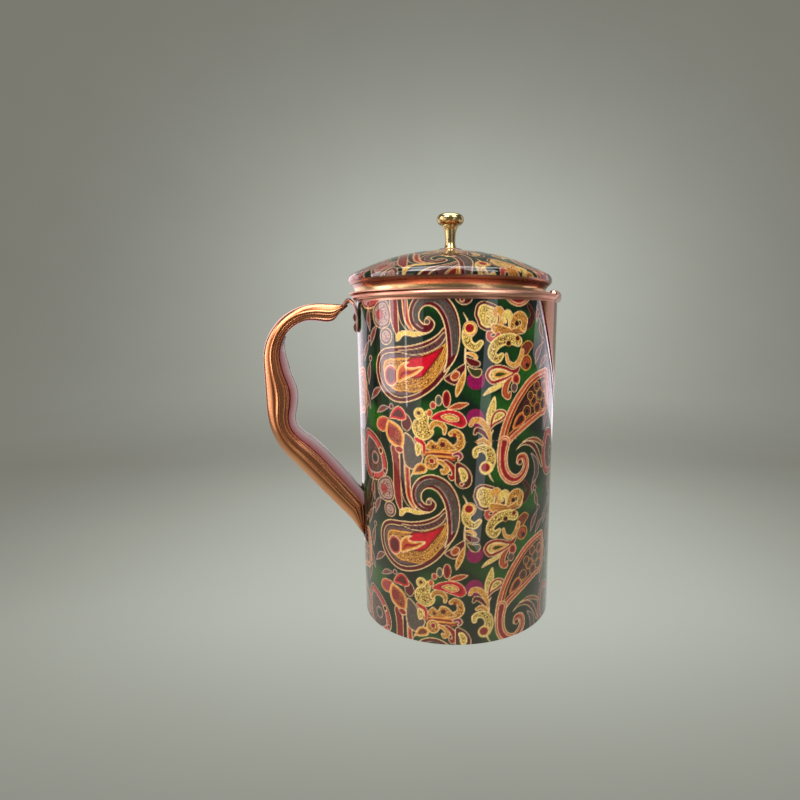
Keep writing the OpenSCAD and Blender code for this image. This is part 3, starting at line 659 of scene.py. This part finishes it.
def sample_tile(u, v):
    """Colour of the print at unrolled positions in mm, blended between cells."""
    x, y = (np.asarray(u) / CU) % NU, (np.asarray(v) / CV) % NV
    i, j = np.floor(y).astype(int), np.floor(x).astype(int)
    fy, fx = (y - i)[..., None], (x - j)[..., None]
    i, j, i2, j2 = i % NV, j % NU, (i + 1) % NV, (j + 1) % NU
    return (tile[i, j] * (1 - fy) * (1 - fx) + tile[i, j2] * (1 - fy) * fx
            + tile[i2, j] * fy * (1 - fx) + tile[i2, j2] * fy * fx)


# ------------------------------------------------------------------ printed skins
def print_mat(name, low, high):
    """Lacquered printed film: colours ride on the mesh, grain, unevenness and a darkening toward the foot
    are procedural.
    """
    m, nt, bs = new_mat(name)
    ink = node(nt, "ShaderNodeAttribute", -1300, 300, attribute_name="print")
    # dark dots and a net of fine lines, where the print's alpha asks for them
    fine = noise_tex(nt, 1150, 2, 0.6, None, -1300, 0)
    dots = ramp(nt, [(0.47, (0, 0, 0)), (0.60, (1, 1, 1))], -1000, 0)
    nt.links.new(fine.outputs["Fac"], dots.inputs["Fac"])
    warp = noise_tex(nt, 420, 2, 0.5, None, -1700, 520)
    place = node(nt, "ShaderNodeTexCoord", -1700, 700)
    shifted = node(nt, "ShaderNodeVectorMath", -1450, 520, operation="MULTIPLY_ADD")
    shifted.inputs[1].default_value = (0.0022, 0.0022, 0.0022)
    nt.links.new(warp.outputs["Color"], shifted.inputs[0])
    nt.links.new(place.outputs["Object"], shifted.inputs[2])
    cells = node(nt, "ShaderNodeTexVoronoi", -1300, 520, feature="DISTANCE_TO_EDGE")
    cells.inputs["Scale"].default_value = 860
    nt.links.new(shifted.outputs["Vector"], cells.inputs["Vector"])
    net = ramp(nt, [(0.04, (1, 1, 1)), (0.13, (0, 0, 0))], -1000, 520)
    nt.links.new(cells.outputs["Distance"], net.inputs["Fac"])
    lines = product(nt, ink.outputs["Alpha"], net.outputs["Color"], -800, 420)
    detail = node(nt, "ShaderNodeMath", -650, 100, operation="MULTIPLY_ADD", use_clamp=True)
    detail.inputs[1].default_value = 0.55
    nt.links.new(product(nt, ink.outputs["Alpha"], dots.outputs["Color"], -800, 100), detail.inputs[0])
    nt.links.new(product(nt, lines, 0.85, -720, 300), detail.inputs[2])
    colour = blended(nt, ink.outputs["Color"], (0.115, 0.012, 0.008), detail.outputs[0], -500, 300)
    uneven = noise_tex(nt, 620, 3, 0.7, None, -1300, 900)
    strength = mapped(nt, uneven.outputs["Fac"], (0.3, 0.72), (0.62, 1.18), -1000, 900)
    colour = scaled(nt, colour, strength, -380, 520)
    # darker and browner toward the foot, in uneven clouds
    where = node(nt, "ShaderNodeTexCoord", -1300, -300)
    axes = node(nt, "ShaderNodeSeparateXYZ", -1100, -300)
    nt.links.new(where.outputs["Object"], axes.inputs[0])
    height_darkening = mapped(nt, axes.outputs["Z"], (high, low), (0.0, 0.42), -900, -300)
    cloud = noise_tex(nt, 30, 5, 0.6, None, -1300, -600)
    patchy = mapped(nt, cloud.outputs["Fac"], (0.3, 0.7), (0.45, 1.2), -900, -600)
    colour = blended(nt, colour, (0.075, 0.055, 0.032), product(nt, height_darkening, patchy, -700, -400), -250, 300)
    nt.links.new(colour, bs.inputs["Base Color"])
    polish = noise_tex(nt, 240, 4, 0.6, None, -900, -900)
    rough = mapped(nt, polish.outputs["Fac"], (0.3, 0.7), (0.22, 0.42), -600, -900)
    nt.links.new(rough, bs.inputs["Roughness"])
    bs.inputs["Specular IOR Level"].default_value = 0.05
    bs.inputs["Coat Weight"].default_value = 1.0
    bs.inputs["Coat Roughness"].default_value = 0.035
    bs.inputs["Coat IOR"].default_value = 1.55
    wave = noise_tex(nt, 38, 2, 0.5, (1, 1, 0.35), -900, -1200)
    bump = bumped(nt, bs, wave.outputs["Fac"], 0.10, -300, -900)
    nt.links.new(bump.outputs["Normal"], bs.inputs["Coat Normal"])
    return m


def skin_mesh(name, outer, inner, merged, mats, body, colours):
    """Closed thin skin. outer is a fine grid (rows, columns, 3); inner is the same surface set in,
    kept at every eighth row and column. merged marks rows whose first and last columns meet."""
    rows, cols = outer.shape[:2]
    keep_r = [r for r in range(0, rows - 1, 8) if rows - 1 - r >= 4] + [rows - 1]
    tip = max((r for r in range(rows) if merged[r]), default=-1)
    if tip not in keep_r and 0 <= tip < rows - 1:
        keep_r = sorted(set(keep_r) | {tip})
    keep_c = [c for c in range(0, cols - 1, 8) if cols - 1 - c >= 4] + [cols - 1]
    verts, out_id, in_id = [], np.zeros((rows, cols), int), {}
    for r in range(rows):
        for c in range(cols):
            if c == cols - 1 and merged[r]:
                out_id[r, c] = out_id[r, 0]
            else:
                out_id[r, c] = len(verts)
                verts.append(tuple(outer[r, c]))
    for r in keep_r:
        for c in keep_c:
            if c == cols - 1 and merged[r]:
                in_id[r, c] = in_id[r, 0]
            else:
                in_id[r, c] = len(verts)
                verts.append(tuple(inner[r, c]))
    faces = []
    for r in range(rows - 1):
        a, b = out_id[r], out_id[r + 1]
        faces += [(a[c], a[c + 1], b[c + 1], b[c]) for c in range(cols - 1)]
    for r0, r1 in zip(keep_r[:-1], keep_r[1:]):
        faces += [(in_id[r0, c0], in_id[r1, c0], in_id[r1, c1], in_id[r0, c1])
                  for c0, c1 in zip(keep_c[:-1], keep_c[1:])]
        if not (merged[r0] and merged[r1]):
            faces.append((*out_id[r0:r1 + 1, 0], in_id[r1, 0], in_id[r0, 0]))
            faces.append((*out_id[r0:r1 + 1, -1][::-1], in_id[r0, cols - 1], in_id[r1, cols - 1]))
    for c0, c1 in zip(keep_c[:-1], keep_c[1:]):
        faces.append((*out_id[0, c0:c1 + 1][::-1], in_id[0, c0], in_id[0, c1]))
        faces.append((*out_id[-1, c0:c1 + 1], in_id[rows - 1, c1], in_id[rows - 1, c0]))
    ob = make_object(name, verts, faces, mats, body, sharp=40)
    data = np.full((len(verts), 4), 0.05)
    data[out_id.reshape(-1)] = colours.reshape(-1, 4)
    attr = ob.data.color_attributes.new("print", "FLOAT_COLOR", "POINT")
    attr.data.foreach_set("color", data.astype(np.float32).reshape(-1))
    return ob


def body_skin():
    """Printed film round the wall, cut away where the spout sheet is lapped on."""
    braze_lo, braze_hi = span("spout_braze")
    cut_top = math.sqrt(BODY_R ** 2 - braze_hi.y ** 2)
    tip_z = braze_lo.z
    cols = 801
    zs = np.unique(np.concatenate([np.linspace(FILM_FOOT, tip_z, 251), np.linspace(tip_z, FILM_TOP, 158)]))
    low = np.clip((zs - tip_z) / (FILM_TOP - tip_z), 0, 1)
    edge = np.arccos(np.clip((BODY_R - low * (BODY_R - cut_top)) / BODY_R, -1, 1))
    merged = low <= 0
    t = np.linspace(0, 1, cols)[None, :]
    ang = edge[:, None] * (1 - t) + (2 * math.pi - edge[:, None]) * t
    inner_r = BODY_R - SKIN_THICK
    zz = np.repeat(zs[:, None], cols, 1)
    outer = np.stack([BODY_R * np.cos(ang), BODY_R * np.sin(ang), zz], -1)
    inner = np.stack([inner_r * np.cos(ang), inner_r * np.sin(ang), zz], -1)
    facing = math.atan2(-FWD.y, -FWD.x)
    turn = (ang - facing + math.pi) % (2 * math.pi) - math.pi
    colours = sample_tile(turn * BODY_R / MM, zz / MM)
    ob = skin_mesh("printed_wall_skin", outer, inner, merged, [PRINT], "jug", colours)
    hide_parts("body_film")


def lid_skin():
    """Printed film over the dome, from the collar hole to just under the shoulder."""
    hole = (collar_hi.x - collar_lo.x) / 2 + 0.3 * MM
    centre = DOME_TOP - math.sqrt(DOME_R ** 2 - hole ** 2)
    turn_r = LID_R - SHOULDER
    turn_z = centre + math.sqrt((DOME_R - SHOULDER) ** 2 - turn_r ** 2)
    first = math.asin(max(-1.0, (lidf_lo.z - turn_z) / SHOULDER))
    meet = math.atan2(turn_z - centre, turn_r)
    prof = [(turn_r + SHOULDER * math.cos(a), turn_z + SHOULDER * math.sin(a))
            for a in np.linspace(first, meet, 14)[:-1]]
    prof += [(DOME_R * math.cos(a), centre + DOME_R * math.sin(a))
             for a in np.linspace(meet, math.acos(hole / DOME_R), 140)]
    pr, pz = np.array(prof).T
    dr, dz = np.gradient(pr), np.gradient(pz)
    ln = np.hypot(dr, dz)
    nr, nz = dz / ln, -dr / ln
    cols = 721
    ang = np.linspace(0, 2 * math.pi, cols)[None, :]
    def surface(r, z):
        return np.stack([LID_X + r[:, None] * np.cos(ang), r[:, None] * np.sin(ang),
                         np.repeat(z[:, None], cols, 1)], -1)
    outer = surface(pr, pz)
    inner = surface(pr - SKIN_THICK * nr, pz - SKIN_THICK * nz)
    across = outer[..., 0] * SIDE.x + outer[..., 1] * SIDE.y
    deep = outer[..., 0] * FWD.x + outer[..., 1] * FWD.y
    rise = (outer[..., 2] - RIM_TOP) * 0.5
    colours = LID_TONE * sample_tile(LID_PRINT[0] + across / MM, LID_PRINT[1] + deep / MM + rise / MM)
    ob = skin_mesh("printed_dome_skin", outer, inner, [True] * len(pr), [LID_FILM], "lid", colours)
    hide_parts("lid_film")


SKIN_THICK = 0.15 * MM
DOME_R, SHOULDER = 114.2 * MM, 3.2 * MM   # printed surface of the dome and of its rolled edge
LID_TONE = np.array((0.55, 0.50, 0.50, 1.0))   # the dome is printed darker than the wall
LID_PRINT = (-6.0, 118.0)               # place in the tile that lies over the lid's axis
PRINT = print_mat("printed_film", FILM_FOOT, FILM_TOP * 0.75)
LID_FILM = print_mat("printed_film_lid", -1.0, -0.5)
body_skin()
lid_skin()


# ------------------------------------------------------------------ handle
# mm, drawn in the handle's plane: r from the body axis, z above the table
REACH = HANDLE_OUT / MM
WALL = 55.0                              # the leg and the finger plate are trimmed by the wall here
TOP, CORNER_Z = 177.6, 107.0             # height of the upper run, and of the corner below the grip
BACK_LINE = [(60.0, 175.6), (REACH, TOP), (REACH - 0.6, CORNER_Z), (62.0, 57.5), (56.0, 48.0)]
BACK_BENDS = [30.0, 41.0, 15.0]          # radii of the three bends between those corners
# stops along the back line, from the nose to the foot: distance, value
DEPTH = [(0, 0.8), (4, 4.4), (10, 9.4), (27, 7.6), (43, 7.4), (64, 9.4), (78, 13.0), (98, 10.4), (126, 13.4),
         (180, 11.5)]
WIDTH = [(0, 2.6), (10, 12.0), (55, 15.0), (100, 15.0), (150, 13.2), (166, 10.5), (180, 3.0)]
# how far the finger plate stands out beyond the tube
PROUD = [(42, 0.3), (60, 3.4), (82, 3.2), (98, 3.2), (118, 3.8), (150, 3.4), (180, 3.0)]
BURIED = 1.8                             # how far the plate runs inside the tube
PLATE_ENDS = (42.0, 166.0)               # where the plate starts and ends along the back line


def rounded_line(corners, radii, step=0.5):
    """Even points along a line of straight runs whose corners are turned into arcs."""
    pts = [np.array(corners[0])]
    for a, b, c, r in zip(corners, corners[1:], corners[2:], radii):
        a, b, c = np.array(a), np.array(b), np.array(c)
        p, q = (a - b) / math.dist(a, b), (c - b) / math.dist(b, c)
        half = math.acos(float(p @ q)) / 2
        centre = b + (p + q) / np.linalg.norm(p + q) * r / math.sin(half)
        first, last = b + p * r / math.tan(half) - centre, b + q * r / math.tan(half) - centre
        a0 = math.atan2(first[1], first[0])
        turn = (math.atan2(last[1], last[0]) - a0 + math.pi) % (2 * math.pi) - math.pi
        for ang in np.linspace(a0, a0 + turn, max(3, int(abs(turn) * r / step))):
            pts.append(centre + r * np.array((math.cos(ang), math.sin(ang))))
    pts = np.array([*pts, np.array(corners[-1])])
    dist = np.concatenate([[0], np.cumsum(np.hypot(*np.diff(pts, axis=0).T))])
    even = np.linspace(0, dist[-1], int(dist[-1] / step))
    return even, np.stack([np.interp(even, dist, pts[:, 0]), np.interp(even, dist, pts[:, 1])], 1)


def eased(stops, at):
    """A smooth curve through a few stops."""
    run = catmull(stops, 16)
    return np.interp(at, run[:, 0], run[:, 1])


def handle_stations():
    """Distance along the back line, its points and the direction toward the fingers."""
    dist, line = rounded_line(BACK_LINE, BACK_BENDS)
    step = np.gradient(line, axis=0)
    inward = np.stack([step[:, 1], -step[:, 0]], 1) / np.hypot(*step.T)[:, None]
    return dist, line, inward


def reach_in(line, inward, depth):
    """Goes in from the back line by depth, but no further than the wall."""
    room = np.where(inward[:, 0] < -0.05, (line[:, 0] - WALL) / np.maximum(-inward[:, 0], 0.05), 1e3)
    return line + inward * np.minimum(depth, np.maximum(room, 0.3))[:, None]


def ribbon_solid(name, run, section, colour_at, mats, body, sharp=50):
    """Loft: run rows are (back r, back z, finger r, finger z, width); section gives (t, s) points
    round the outline, t from the back edge (0) to the finger edge (1), s across in half widths."""
    verts, colour_and_painted_light, rings = [], [], []
    for row, (ox, oz, ix, iz, w) in enumerate(run):
        ids = []
        for t, s in section:
            ids.append(len(verts))
            verts.append((-(ox + (ix - ox) * t), s * w / 2, oz + (iz - oz) * t))
            colour_and_painted_light.append((*colour_at(t, row / (len(run) - 1)), 1.0))
        rings.append(ids)
    ob = make_object(name, verts, ring_faces(rings), mats, body, sharp=sharp)
    # the mesh keeps the part's colour with its painted highlights and painted shade
    attr = ob.data.color_attributes.new("colour_and_painted_light", "FLOAT_COLOR", "POINT")
    attr.data.foreach_set("color", np.array(colour_and_painted_light, np.float32).reshape(-1))
    face_outward(ob)
    return ob


def tube_section():
    """Two dished pressings: fat rolled back, a proud seam along each flank, flatter finger side."""
    side = []
    n = 44
    for k in range(n + 1):
        a = math.pi * k / n
        t = 0.5 - 0.5 * math.copysign(abs(math.cos(a)) ** 0.85, math.cos(a))
        s = 0.90 * abs(math.sin(a)) ** (0.66 if t < 0.5 else 0.44)
        s += 0.10 * math.exp(-((t - 0.44) / 0.030) ** 2)             # seam bead
        s -= 0.05 * math.exp(-((t - 0.54) / 0.040) ** 2)             # dish beside the seam
        s -= 0.08 * math.exp(-((t - 0.82) / 0.040) ** 2)             # crease before the inner lip
        side.append((t, max(s, 0.0)))
    other = [(t, -s) for t, s in reversed(side[1:-1])]
    return side + other


def bands(stops):
    pos = [p for p, _ in stops]
    cols = np.array([c for _, c in stops])
    return lambda t: tuple(float(np.interp(t, pos, cols[:, k])) for k in range(3))


# copper colour across the tube's section, back (0) to finger edge (1), with painted light: a painted
# highlight on the seam bead and another on the inner lip, painted shade beside the seam and on the finger
# side
TUBE_COLOUR_AND_PAINTED_LIGHT = bands([(0.0, (0.84, 0.44, 0.27)), (0.22, (0.80, 0.38, 0.20)), (0.36, (0.42, 0.13, 0.05)),
                   (0.40, (0.55, 0.22, 0.08)), (0.44, (1.00, 0.72, 0.42)), (0.49, (0.56, 0.23, 0.10)),
                   (0.62, (0.58, 0.26, 0.13)), (0.78, (0.62, 0.28, 0.14)), (0.86, (0.92, 0.50, 0.32)),
                   (0.91, (0.36, 0.07, 0.04)), (1.0, (0.12, 0.02, 0.015))])
# finger plate colour from its root in the tube (0) to its free edge (1), with painted light: painted shade
# at the root, a pale painted reflection across its face, and darker on its free edge
GRIP_COLOUR_AND_PAINTED_LIGHT = bands([(0.0, (0.20, 0.03, 0.03)), (0.48, (0.26, 0.06, 0.06)), (0.60, (0.62, 0.54, 0.58)),
                   (0.90, (0.72, 0.68, 0.70)), (0.95, (0.16, 0.08, 0.07)), (1.0, (0.10, 0.05, 0.04))])


def handle_pieces():
    dist, line, inward = handle_stations()
    finger = reach_in(line, inward, eased(DEPTH, dist))
    run = np.column_stack([line, finger, eased(WIDTH, dist)])[::2] * MM

    def colour_and_painted_light(t, along):
        c = np.array(TUBE_COLOUR_AND_PAINTED_LIGHT(t)) * (1.0, 0.88, 0.82)
        if t < 0.34:                                                 # painted highlight: the leg is lighter along its back
            painted_sheen = 0.9 * float(np.interp(along, (0.50, 0.66, 0.9), (0, 1, 0.8)))
            c = c * (1 + painted_sheen * np.array((0.5, 0.75, 0.9)))
        painted_shade_at_wall = 0.72 if along > 0.97 or along < 0.04 else 1.0         # painted shade: darker where it meets the wall
        return tuple(v * painted_shade_at_wall for v in c)
    tube = ribbon_solid("handle_tube", run, tube_section(), colour_and_painted_light, [HANDLE_CU], "jug", 60)
    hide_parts("handle_shell")
    wide = grip_hi.y - grip_lo.y
    on = (dist >= PLATE_ENDS[0]) & (dist <= PLATE_ENDS[1])
    depth = eased(DEPTH, dist)
    root = reach_in(line, inward, depth - BURIED)
    free = reach_in(line, inward, depth + eased(PROUD, dist))
    across = wide / MM * np.clip(0.5 + 0.03 * (dist - PLATE_ENDS[0]), 0.5, 0.84)
    rows = np.column_stack([root, free, across])[on][::2] * MM
    n = 10
    sect = [(t, s) for t, s in ([(0.0, 1 - 2 * k / n) for k in range(n + 1)]
                                + [(0.5, -1.0), (0.93, -1.0), (1.0, -0.93)]
                                + [(1.0, -0.93 + 1.86 * k / n) for k in range(1, n + 1)]
                                + [(0.93, 1.0), (0.5, 1.0)])]
    plate = ribbon_solid("handle_finger_plate", rows, sect, lambda t, along: GRIP_COLOUR_AND_PAINTED_LIGHT(t), [GRIP_CU],
                         "jug", 30)
    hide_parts("handle_grip")


handle_pieces()

# strap that carries the nose of the handle: centre line (r, z), width and thickness in mm
STRAP_RUN = [(63.4, 174.7, 3.4, 1.0), (62.0, 175.6, 5.0, 1.8), (60.8, 177.0, 6.4, 2.3),
             (59.5, 177.9, 7.6, 2.4), (58.3, 177.3, 8.8, 1.8), (57.2, 176.2, 10.2, 1.3),
             (56.4, 174.2, 12.0, 1.2), (56.1, 171.8, 13.4, 1.1), (55.8, 169.0, 13.8, 1.1),
             (55.8, 166.4, 13.6, 1.1), (55.8, 163.8, 12.0, 1.1), (55.8, 162.2, 8.0, 1.0),
             (55.7, 161.4, 3.0, 0.8)]
STRAP_WALL = 55.8                        # the flange lies on the wall at this radius
STRAP_CURL_Z = 175                       # above this height its edges curl up


def strap_piece():
    """The run is swept with a section of two rows of points, one on each face of the strap."""
    run = catmull(STRAP_RUN, 6)
    step = np.gradient(run[:, :2], axis=0)
    normal = np.stack([-step[:, 1], step[:, 0]], 1) / np.hypot(*step.T)[:, None]
    verts, rings = [], []
    n = 12
    for (r, z, w, t), (nr, nz) in zip(run, normal):
        ids = []
        for side in (1, -1):
            for k in range(n + 1):
                y = side * (1 - 2 * k / n)
                edge = 0.5 * t * (1 - 0.55 * abs(y) ** 6)
                curl = 0.35 * abs(y) ** 3 * (1 if z > STRAP_CURL_Z else 0)
                lies = z < STRAP_CURL_Z + 1
                hollow = math.sqrt(STRAP_WALL ** 2 - (y * w / 2) ** 2) - STRAP_WALL if lies else 0
                off = side * edge + curl
                ids.append(len(verts))
                verts.append((-(r + hollow + off * nr) * MM, y * w / 2 * MM, (z + off * nz) * MM))
        rings.append(ids)
    ob = make_object("nose_strap", verts, ring_faces(rings), [DARK_CU], "jug", sharp=45)
    face_outward(ob)
    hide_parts("handle_bracket")


strap_piece()


def solder_line():
    """Tinned solder drawn along both edges of the lapped spout sheet, uneven in width."""
    lo, hi = span("spout_braze")
    cut_top = math.sqrt(BODY_R ** 2 - hi.y ** 2)
    verts, faces = [], []
    n, rows = 8, 150
    for side in (1, -1):
        rings = []
        for r in range(rows + 1):
            z = lo.z + (FILM_TOP - lo.z) * (0.012 + 0.988 * r / rows)
            low = (z - lo.z) / (FILM_TOP - lo.z)
            edge = math.acos((BODY_R - low * (BODY_R - cut_top)) / BODY_R)
            wide = (3.0 + 0.5 * noise.noise(Vector((0, side * 3, z * 130)))) * MM / BODY_R
            wide *= min(1, r / 12 + 0.15)
            a0 = edge - 0.5 * MM / BODY_R * min(1, r / 12)
            ids = []
            for k in range(n + 1):
                t = k / n
                rr = BODY_R + (0.04 + 0.42 * (math.sin(math.pi * t) ** 0.6)
                               + 0.05 * noise.noise(Vector((t * 3, side, z * 420)))) * MM
                ids.append((rr, a0 + wide * t))
            ids += [(BODY_R - 0.1 * MM, a0 + wide), (BODY_R - 0.1 * MM, a0)]
            ring = []
            for rr, a in ids:
                ring.append(len(verts))
                verts.append((rr * math.cos(a), side * rr * math.sin(a), z))
            rings.append(ring)
        faces += ring_faces(rings)
    ob = make_object("spout_solder_line", verts, faces, [TIN], "jug", sharp=45)
    face_outward(ob)
    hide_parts("spout_braze")


solder_line()


# ------------------------------------------------------------------ knob, collar, lid band
# turned profile of the knob in mm, radius and height above its foot
KNOB_NECK = [(3.6, 0.0), (3.55, 0.5), (3.25, 1.1), (2.95, 2.0), (2.78, 3.4), (2.78, 5.0), (2.92, 6.8),
             (3.2, 8.4), (3.6, 9.8), (4.1, 10.8), (4.35, 11.2), (4.4, 11.6)]
KNOB_HEAD = [(4.9, 11.75), (5.8, 12.0), (6.7, 12.7), (7.2, 13.6), (7.38, 14.4), (7.3, 15.2), (6.9, 16.0),
             (6.1, 16.7), (4.9, 17.15), (3.4, 17.42), (1.8, 17.56), (0.0, 17.6)]


def knob_piece():
    foot = knob_lo.z
    wide, tall = KNOB_R / 7.4, (knob_hi.z - foot) / 17.6
    turned = [*catmull(KNOB_NECK, 4), *catmull(KNOB_HEAD, 4)]
    prof = [(0.0, foot), *((max(r, 0) * wide, foot + z * tall) for r, z in turned)]
    prof[-1] = (0.0, prof[-1][1])
    ob = lathe("knob_turned", prof, [BRASS], "lid", 96, (LID_X, 0), sharp=40)
    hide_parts("knob")
    r, z0, z1 = (collar_hi.x - collar_lo.x) / 2, collar_lo.z + 0.15 * MM, collar_hi.z
    prof = [(0.0, z0), (r - 0.2 * MM, z0), (r, z0 + 0.25 * MM), (r, z0 + 0.45 * MM),
            (r - 0.4 * MM, z1 - 0.15 * MM), (r - 1.6 * MM, z1), (0.0, z1)]
    ob = lathe("knob_collar_disc", prof, [DARK_CU], "lid", 96, (LID_X, 0))
    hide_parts("knob_collar")


knob_piece()


def band_piece():
    lo, hi = band_lo.z, band_hi.z
    out = (band_hi.x - band_lo.x) / 2
    prof = []
    n = 24
    foot = out - 1.3 * MM
    for i in range(n + 1):
        t = i / n
        z = lo + (hi - lo) * t
        r = foot + (out - foot) * (0.62 * t + 0.38 * t * t) - 0.45 * MM * math.sin(math.pi * t)
        prof.append((r, z))
    prof += [(r - 0.6 * MM, z) for r, z in reversed(prof)]
    ob = lathe("lid_band_spun", prof, [BAND_CU], "lid", 192, (LID_X, 0), 0.05 * MM)
    # the band's colour by height with painted light: a painted gold highlight across its lower half, painted
    # shade toward its top and at its foot
    band_colour_and_painted_light = bands([(0.0, (0.42, 0.22, 0.12)), (0.12, (0.80, 0.52, 0.27)), (0.45, (0.86, 0.58, 0.30)),
                   (0.66, (0.42, 0.19, 0.11)), (1.0, (0.22, 0.08, 0.06))])
    attr = ob.data.color_attributes.new("colour_and_painted_light", "FLOAT_COLOR", "POINT")
    for v, c in zip(ob.data.vertices, attr.data):
        c.color = (*band_colour_and_painted_light((v.co.z - lo) / (hi - lo)), 1.0)
    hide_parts("lid_band")


band_piece()


# ------------------------------------------------------------------ floor, backdrop, light, camera
NEAR, FAR = (0.50, 0.52, 0.46), (0.195, 0.195, 0.165)    # painted glow beside the jug and far from it


def backdrop():
    """Floor that sweeps up into a wall behind the jug; it glows by itself, and a painted pool of light fades
    outward on both.
    """
    prof = [(d, 0.0) for d in np.linspace(-0.9, 0.55, 90)]
    for i in range(1, 25):
        a = math.radians(90 * i / 24)
        prof.append((0.55 + 0.5 * math.sin(a), 0.5 - 0.5 * math.cos(a)))
    prof += [(1.05, z) for z in np.linspace(0.53, 2.2, 60)]
    across = np.linspace(-2.2, 2.2, 161)
    verts, tone, faces = [], [], []
    for d, z in prof:
        for s in across:
            p = FWD * d + SIDE * s
            verts.append((p.x, p.y, z))
            # painted pool of light on the floor round the jug, and a painted glow on the wall behind it
            pool = math.hypot(s / 0.27, d / (0.135 if d < 0 else 0.42))
            low = math.exp(-0.85 * pool ** 2)
            glow = math.exp(-0.9 * ((s / 0.52) ** 2 + ((z - 0.26) / 0.36) ** 2))
            k = min(max((d - 0.35) / 0.4, 0), 1)
            f = low * (1 - k) + glow * k
            tone.append(tuple(FAR[i] + (NEAR[i] - FAR[i]) * f for i in range(3)) + (1.0,))
    n = len(across)
    for i in range(len(prof) - 1):
        faces += [(n * i + k, n * i + k + 1, n * i + n + k + 1, n * i + n + k) for k in range(n - 1)]
    me = bpy.data.meshes.new("backdrop")
    me.from_pydata(verts, [], faces)
    # the tone attribute holds the painted pool of light
    attr = me.color_attributes.new("tone", "FLOAT_COLOR", "POINT")
    attr.data.foreach_set("color", np.array(tone, np.float32).reshape(-1))
    m, nt, bs = new_mat("backdrop_painted_glow")
    at = node(nt, "ShaderNodeAttribute", -700, 0, attribute_name="tone")
    grain = noise_tex(nt, 9, 4, 0.5, None, -900, -300)
    glow = scaled(nt, at.outputs["Color"],
                  mapped(nt, grain.outputs["Fac"], (0.0, 1.0), (0.97, 1.03), -650, -300), -400, 0)
    nt.links.new(scaled(nt, glow, 0.03, -200, 200), bs.inputs["Base Color"])
    # the painted light is emission, so the backdrop lights itself
    nt.links.new(glow, bs.inputs["Emission Color"])
    bs.inputs["Emission Strength"].default_value = 0.97
    bs.inputs["Specular IOR Level"].default_value = 0.0
    bs.inputs["Roughness"].default_value = 0.9
    me.materials.append(m)
    me.shade_smooth()
    ob = bpy.data.objects.new("backdrop", me)
    scene.collection.objects.link(ob)


backdrop()


def panel(name, loc, facing, up, size, power, colour, size_y=None):
    """A glowing panel; up is its own axis that stays level with the world's Z."""
    d = bpy.data.lights.new(name, "AREA")
    d.energy = power
    d.color = colour
    d.size = size
    if size_y:
        d.shape = "RECTANGLE"
        d.size_y = size_y
    ob = bpy.data.objects.new(name, d)
    ob.location = loc
    ob.rotation_euler = facing.to_track_quat("-Z", up).to_euler()
    scene.collection.objects.link(ob)


def area(name, loc, aim, size, power, colour=(1, 1, 1), size_y=None):
    panel(name, loc, Vector(aim) - Vector(loc), "Y", size, power, colour, size_y)


def around(turn, dist, up):
    """A place at an angle from the camera's side of the jug, positive to the right."""
    a = math.radians(turn)
    p = SIDE * (math.sin(a) * dist) - FWD * (math.cos(a) * dist)
    return Vector((p.x, p.y, up))


def lamp(name, turn, dist, up, wide, tall, power, colour=(1, 1, 1)):
    area(name, around(turn, dist, up), (0, 0, up), wide, power, colour, tall)


def card(name, p0, p1, power, colour, top=0.24, lift=0.002):
    """A narrow glowing panel standing on the table, close to the jug, that shows as a band in
    the lacquer; p0 and p1 are its ends (right, away from the camera) in metres."""
    ends = [SIDE * a + FWD * b for a, b in (p0, p1)]
    mid = (ends[0] + ends[1]) / 2
    wide = (ends[0] - ends[1]).length
    along = (ends[1] - ends[0]).normalized()
    facing = Vector((along.y, -along.x, 0))
    if facing.dot(mid) > 0:
        facing = -facing
    panel(name, (mid.x, mid.y, (top + lift) / 2), facing, "Z", wide, power, colour, top - lift)


LILAC = (1.0, 0.86, 0.98)
card("card_left", (-0.138, 0.052), (-0.074, 0.108), 0.060, LILAC)
card("card_low", (-0.34, -0.10), (-0.22, -0.30), 0.16, (1.0, 0.90, 0.80))
card("card_right", (0.137, 0.052), (0.112, 0.085), 0.040, LILAC)
card("card_front", (0.0675, -0.160), (0.092, -0.1458), 0.030, (0.92, 0.92, 1.0))
lamp("box_left", -80, 0.62, 0.33, 0.23, 0.52, 1.5, (1.0, 0.90, 0.95))
lamp("strip_left", -55, 0.62, 0.30, 0.022, 0.50, 0.16)
lamp("edge_right", 126, 0.60, 0.31, 0.26, 0.60, 0.3, LILAC)
lamp("edge_left", -140, 0.60, 0.31, 0.24, 0.60, 0.25, LILAC)
area("top_soft", around(0, 0.02, 0.95), (0, 0, 0.0), 0.8, 8.0, (1, 1, 1))
area("key_high", around(-32, 0.80, 0.85), (0, 0, 0.08), 0.55, 9.0, (1.0, 0.98, 0.95))
area("fill_high", around(38, 0.85, 0.80), (0, 0, 0.08), 0.55, 5.0, (0.96, 0.97, 1.0))

world = bpy.data.worlds.new("studio")
scene.world = world
world.use_nodes = True
bg = world.node_tree.nodes["Background"]
bg.inputs["Color"].default_value = (0.80, 0.80, 0.78, 1)
bg.inputs["Strength"].default_value = 0.16

cam_data = bpy.data.cameras.new("camera")
cam = bpy.data.objects.new("camera", cam_data)
scene.collection.objects.link(cam)
CAM_DIST, CAM_HIGH, CAM_DOWN = 0.3235, 0.1623, 0.1994
eye = -FWD * CAM_DIST
cam.location = (eye.x, eye.y, CAM_HIGH)
look = Vector((FWD.x * math.cos(CAM_DOWN), FWD.y * math.cos(CAM_DOWN), -math.sin(CAM_DOWN)))
cam.rotation_euler = look.to_track_quat("-Z", "Y").to_euler()
cam_data.sensor_width = 36.0
cam_data.lens = 25.353
cam_data.shift_x = -0.0706
cam_data.shift_y = 0.0555
cam_data.clip_start = 0.01
scene.camera = cam
scene.view_settings.view_transform = "Standard"
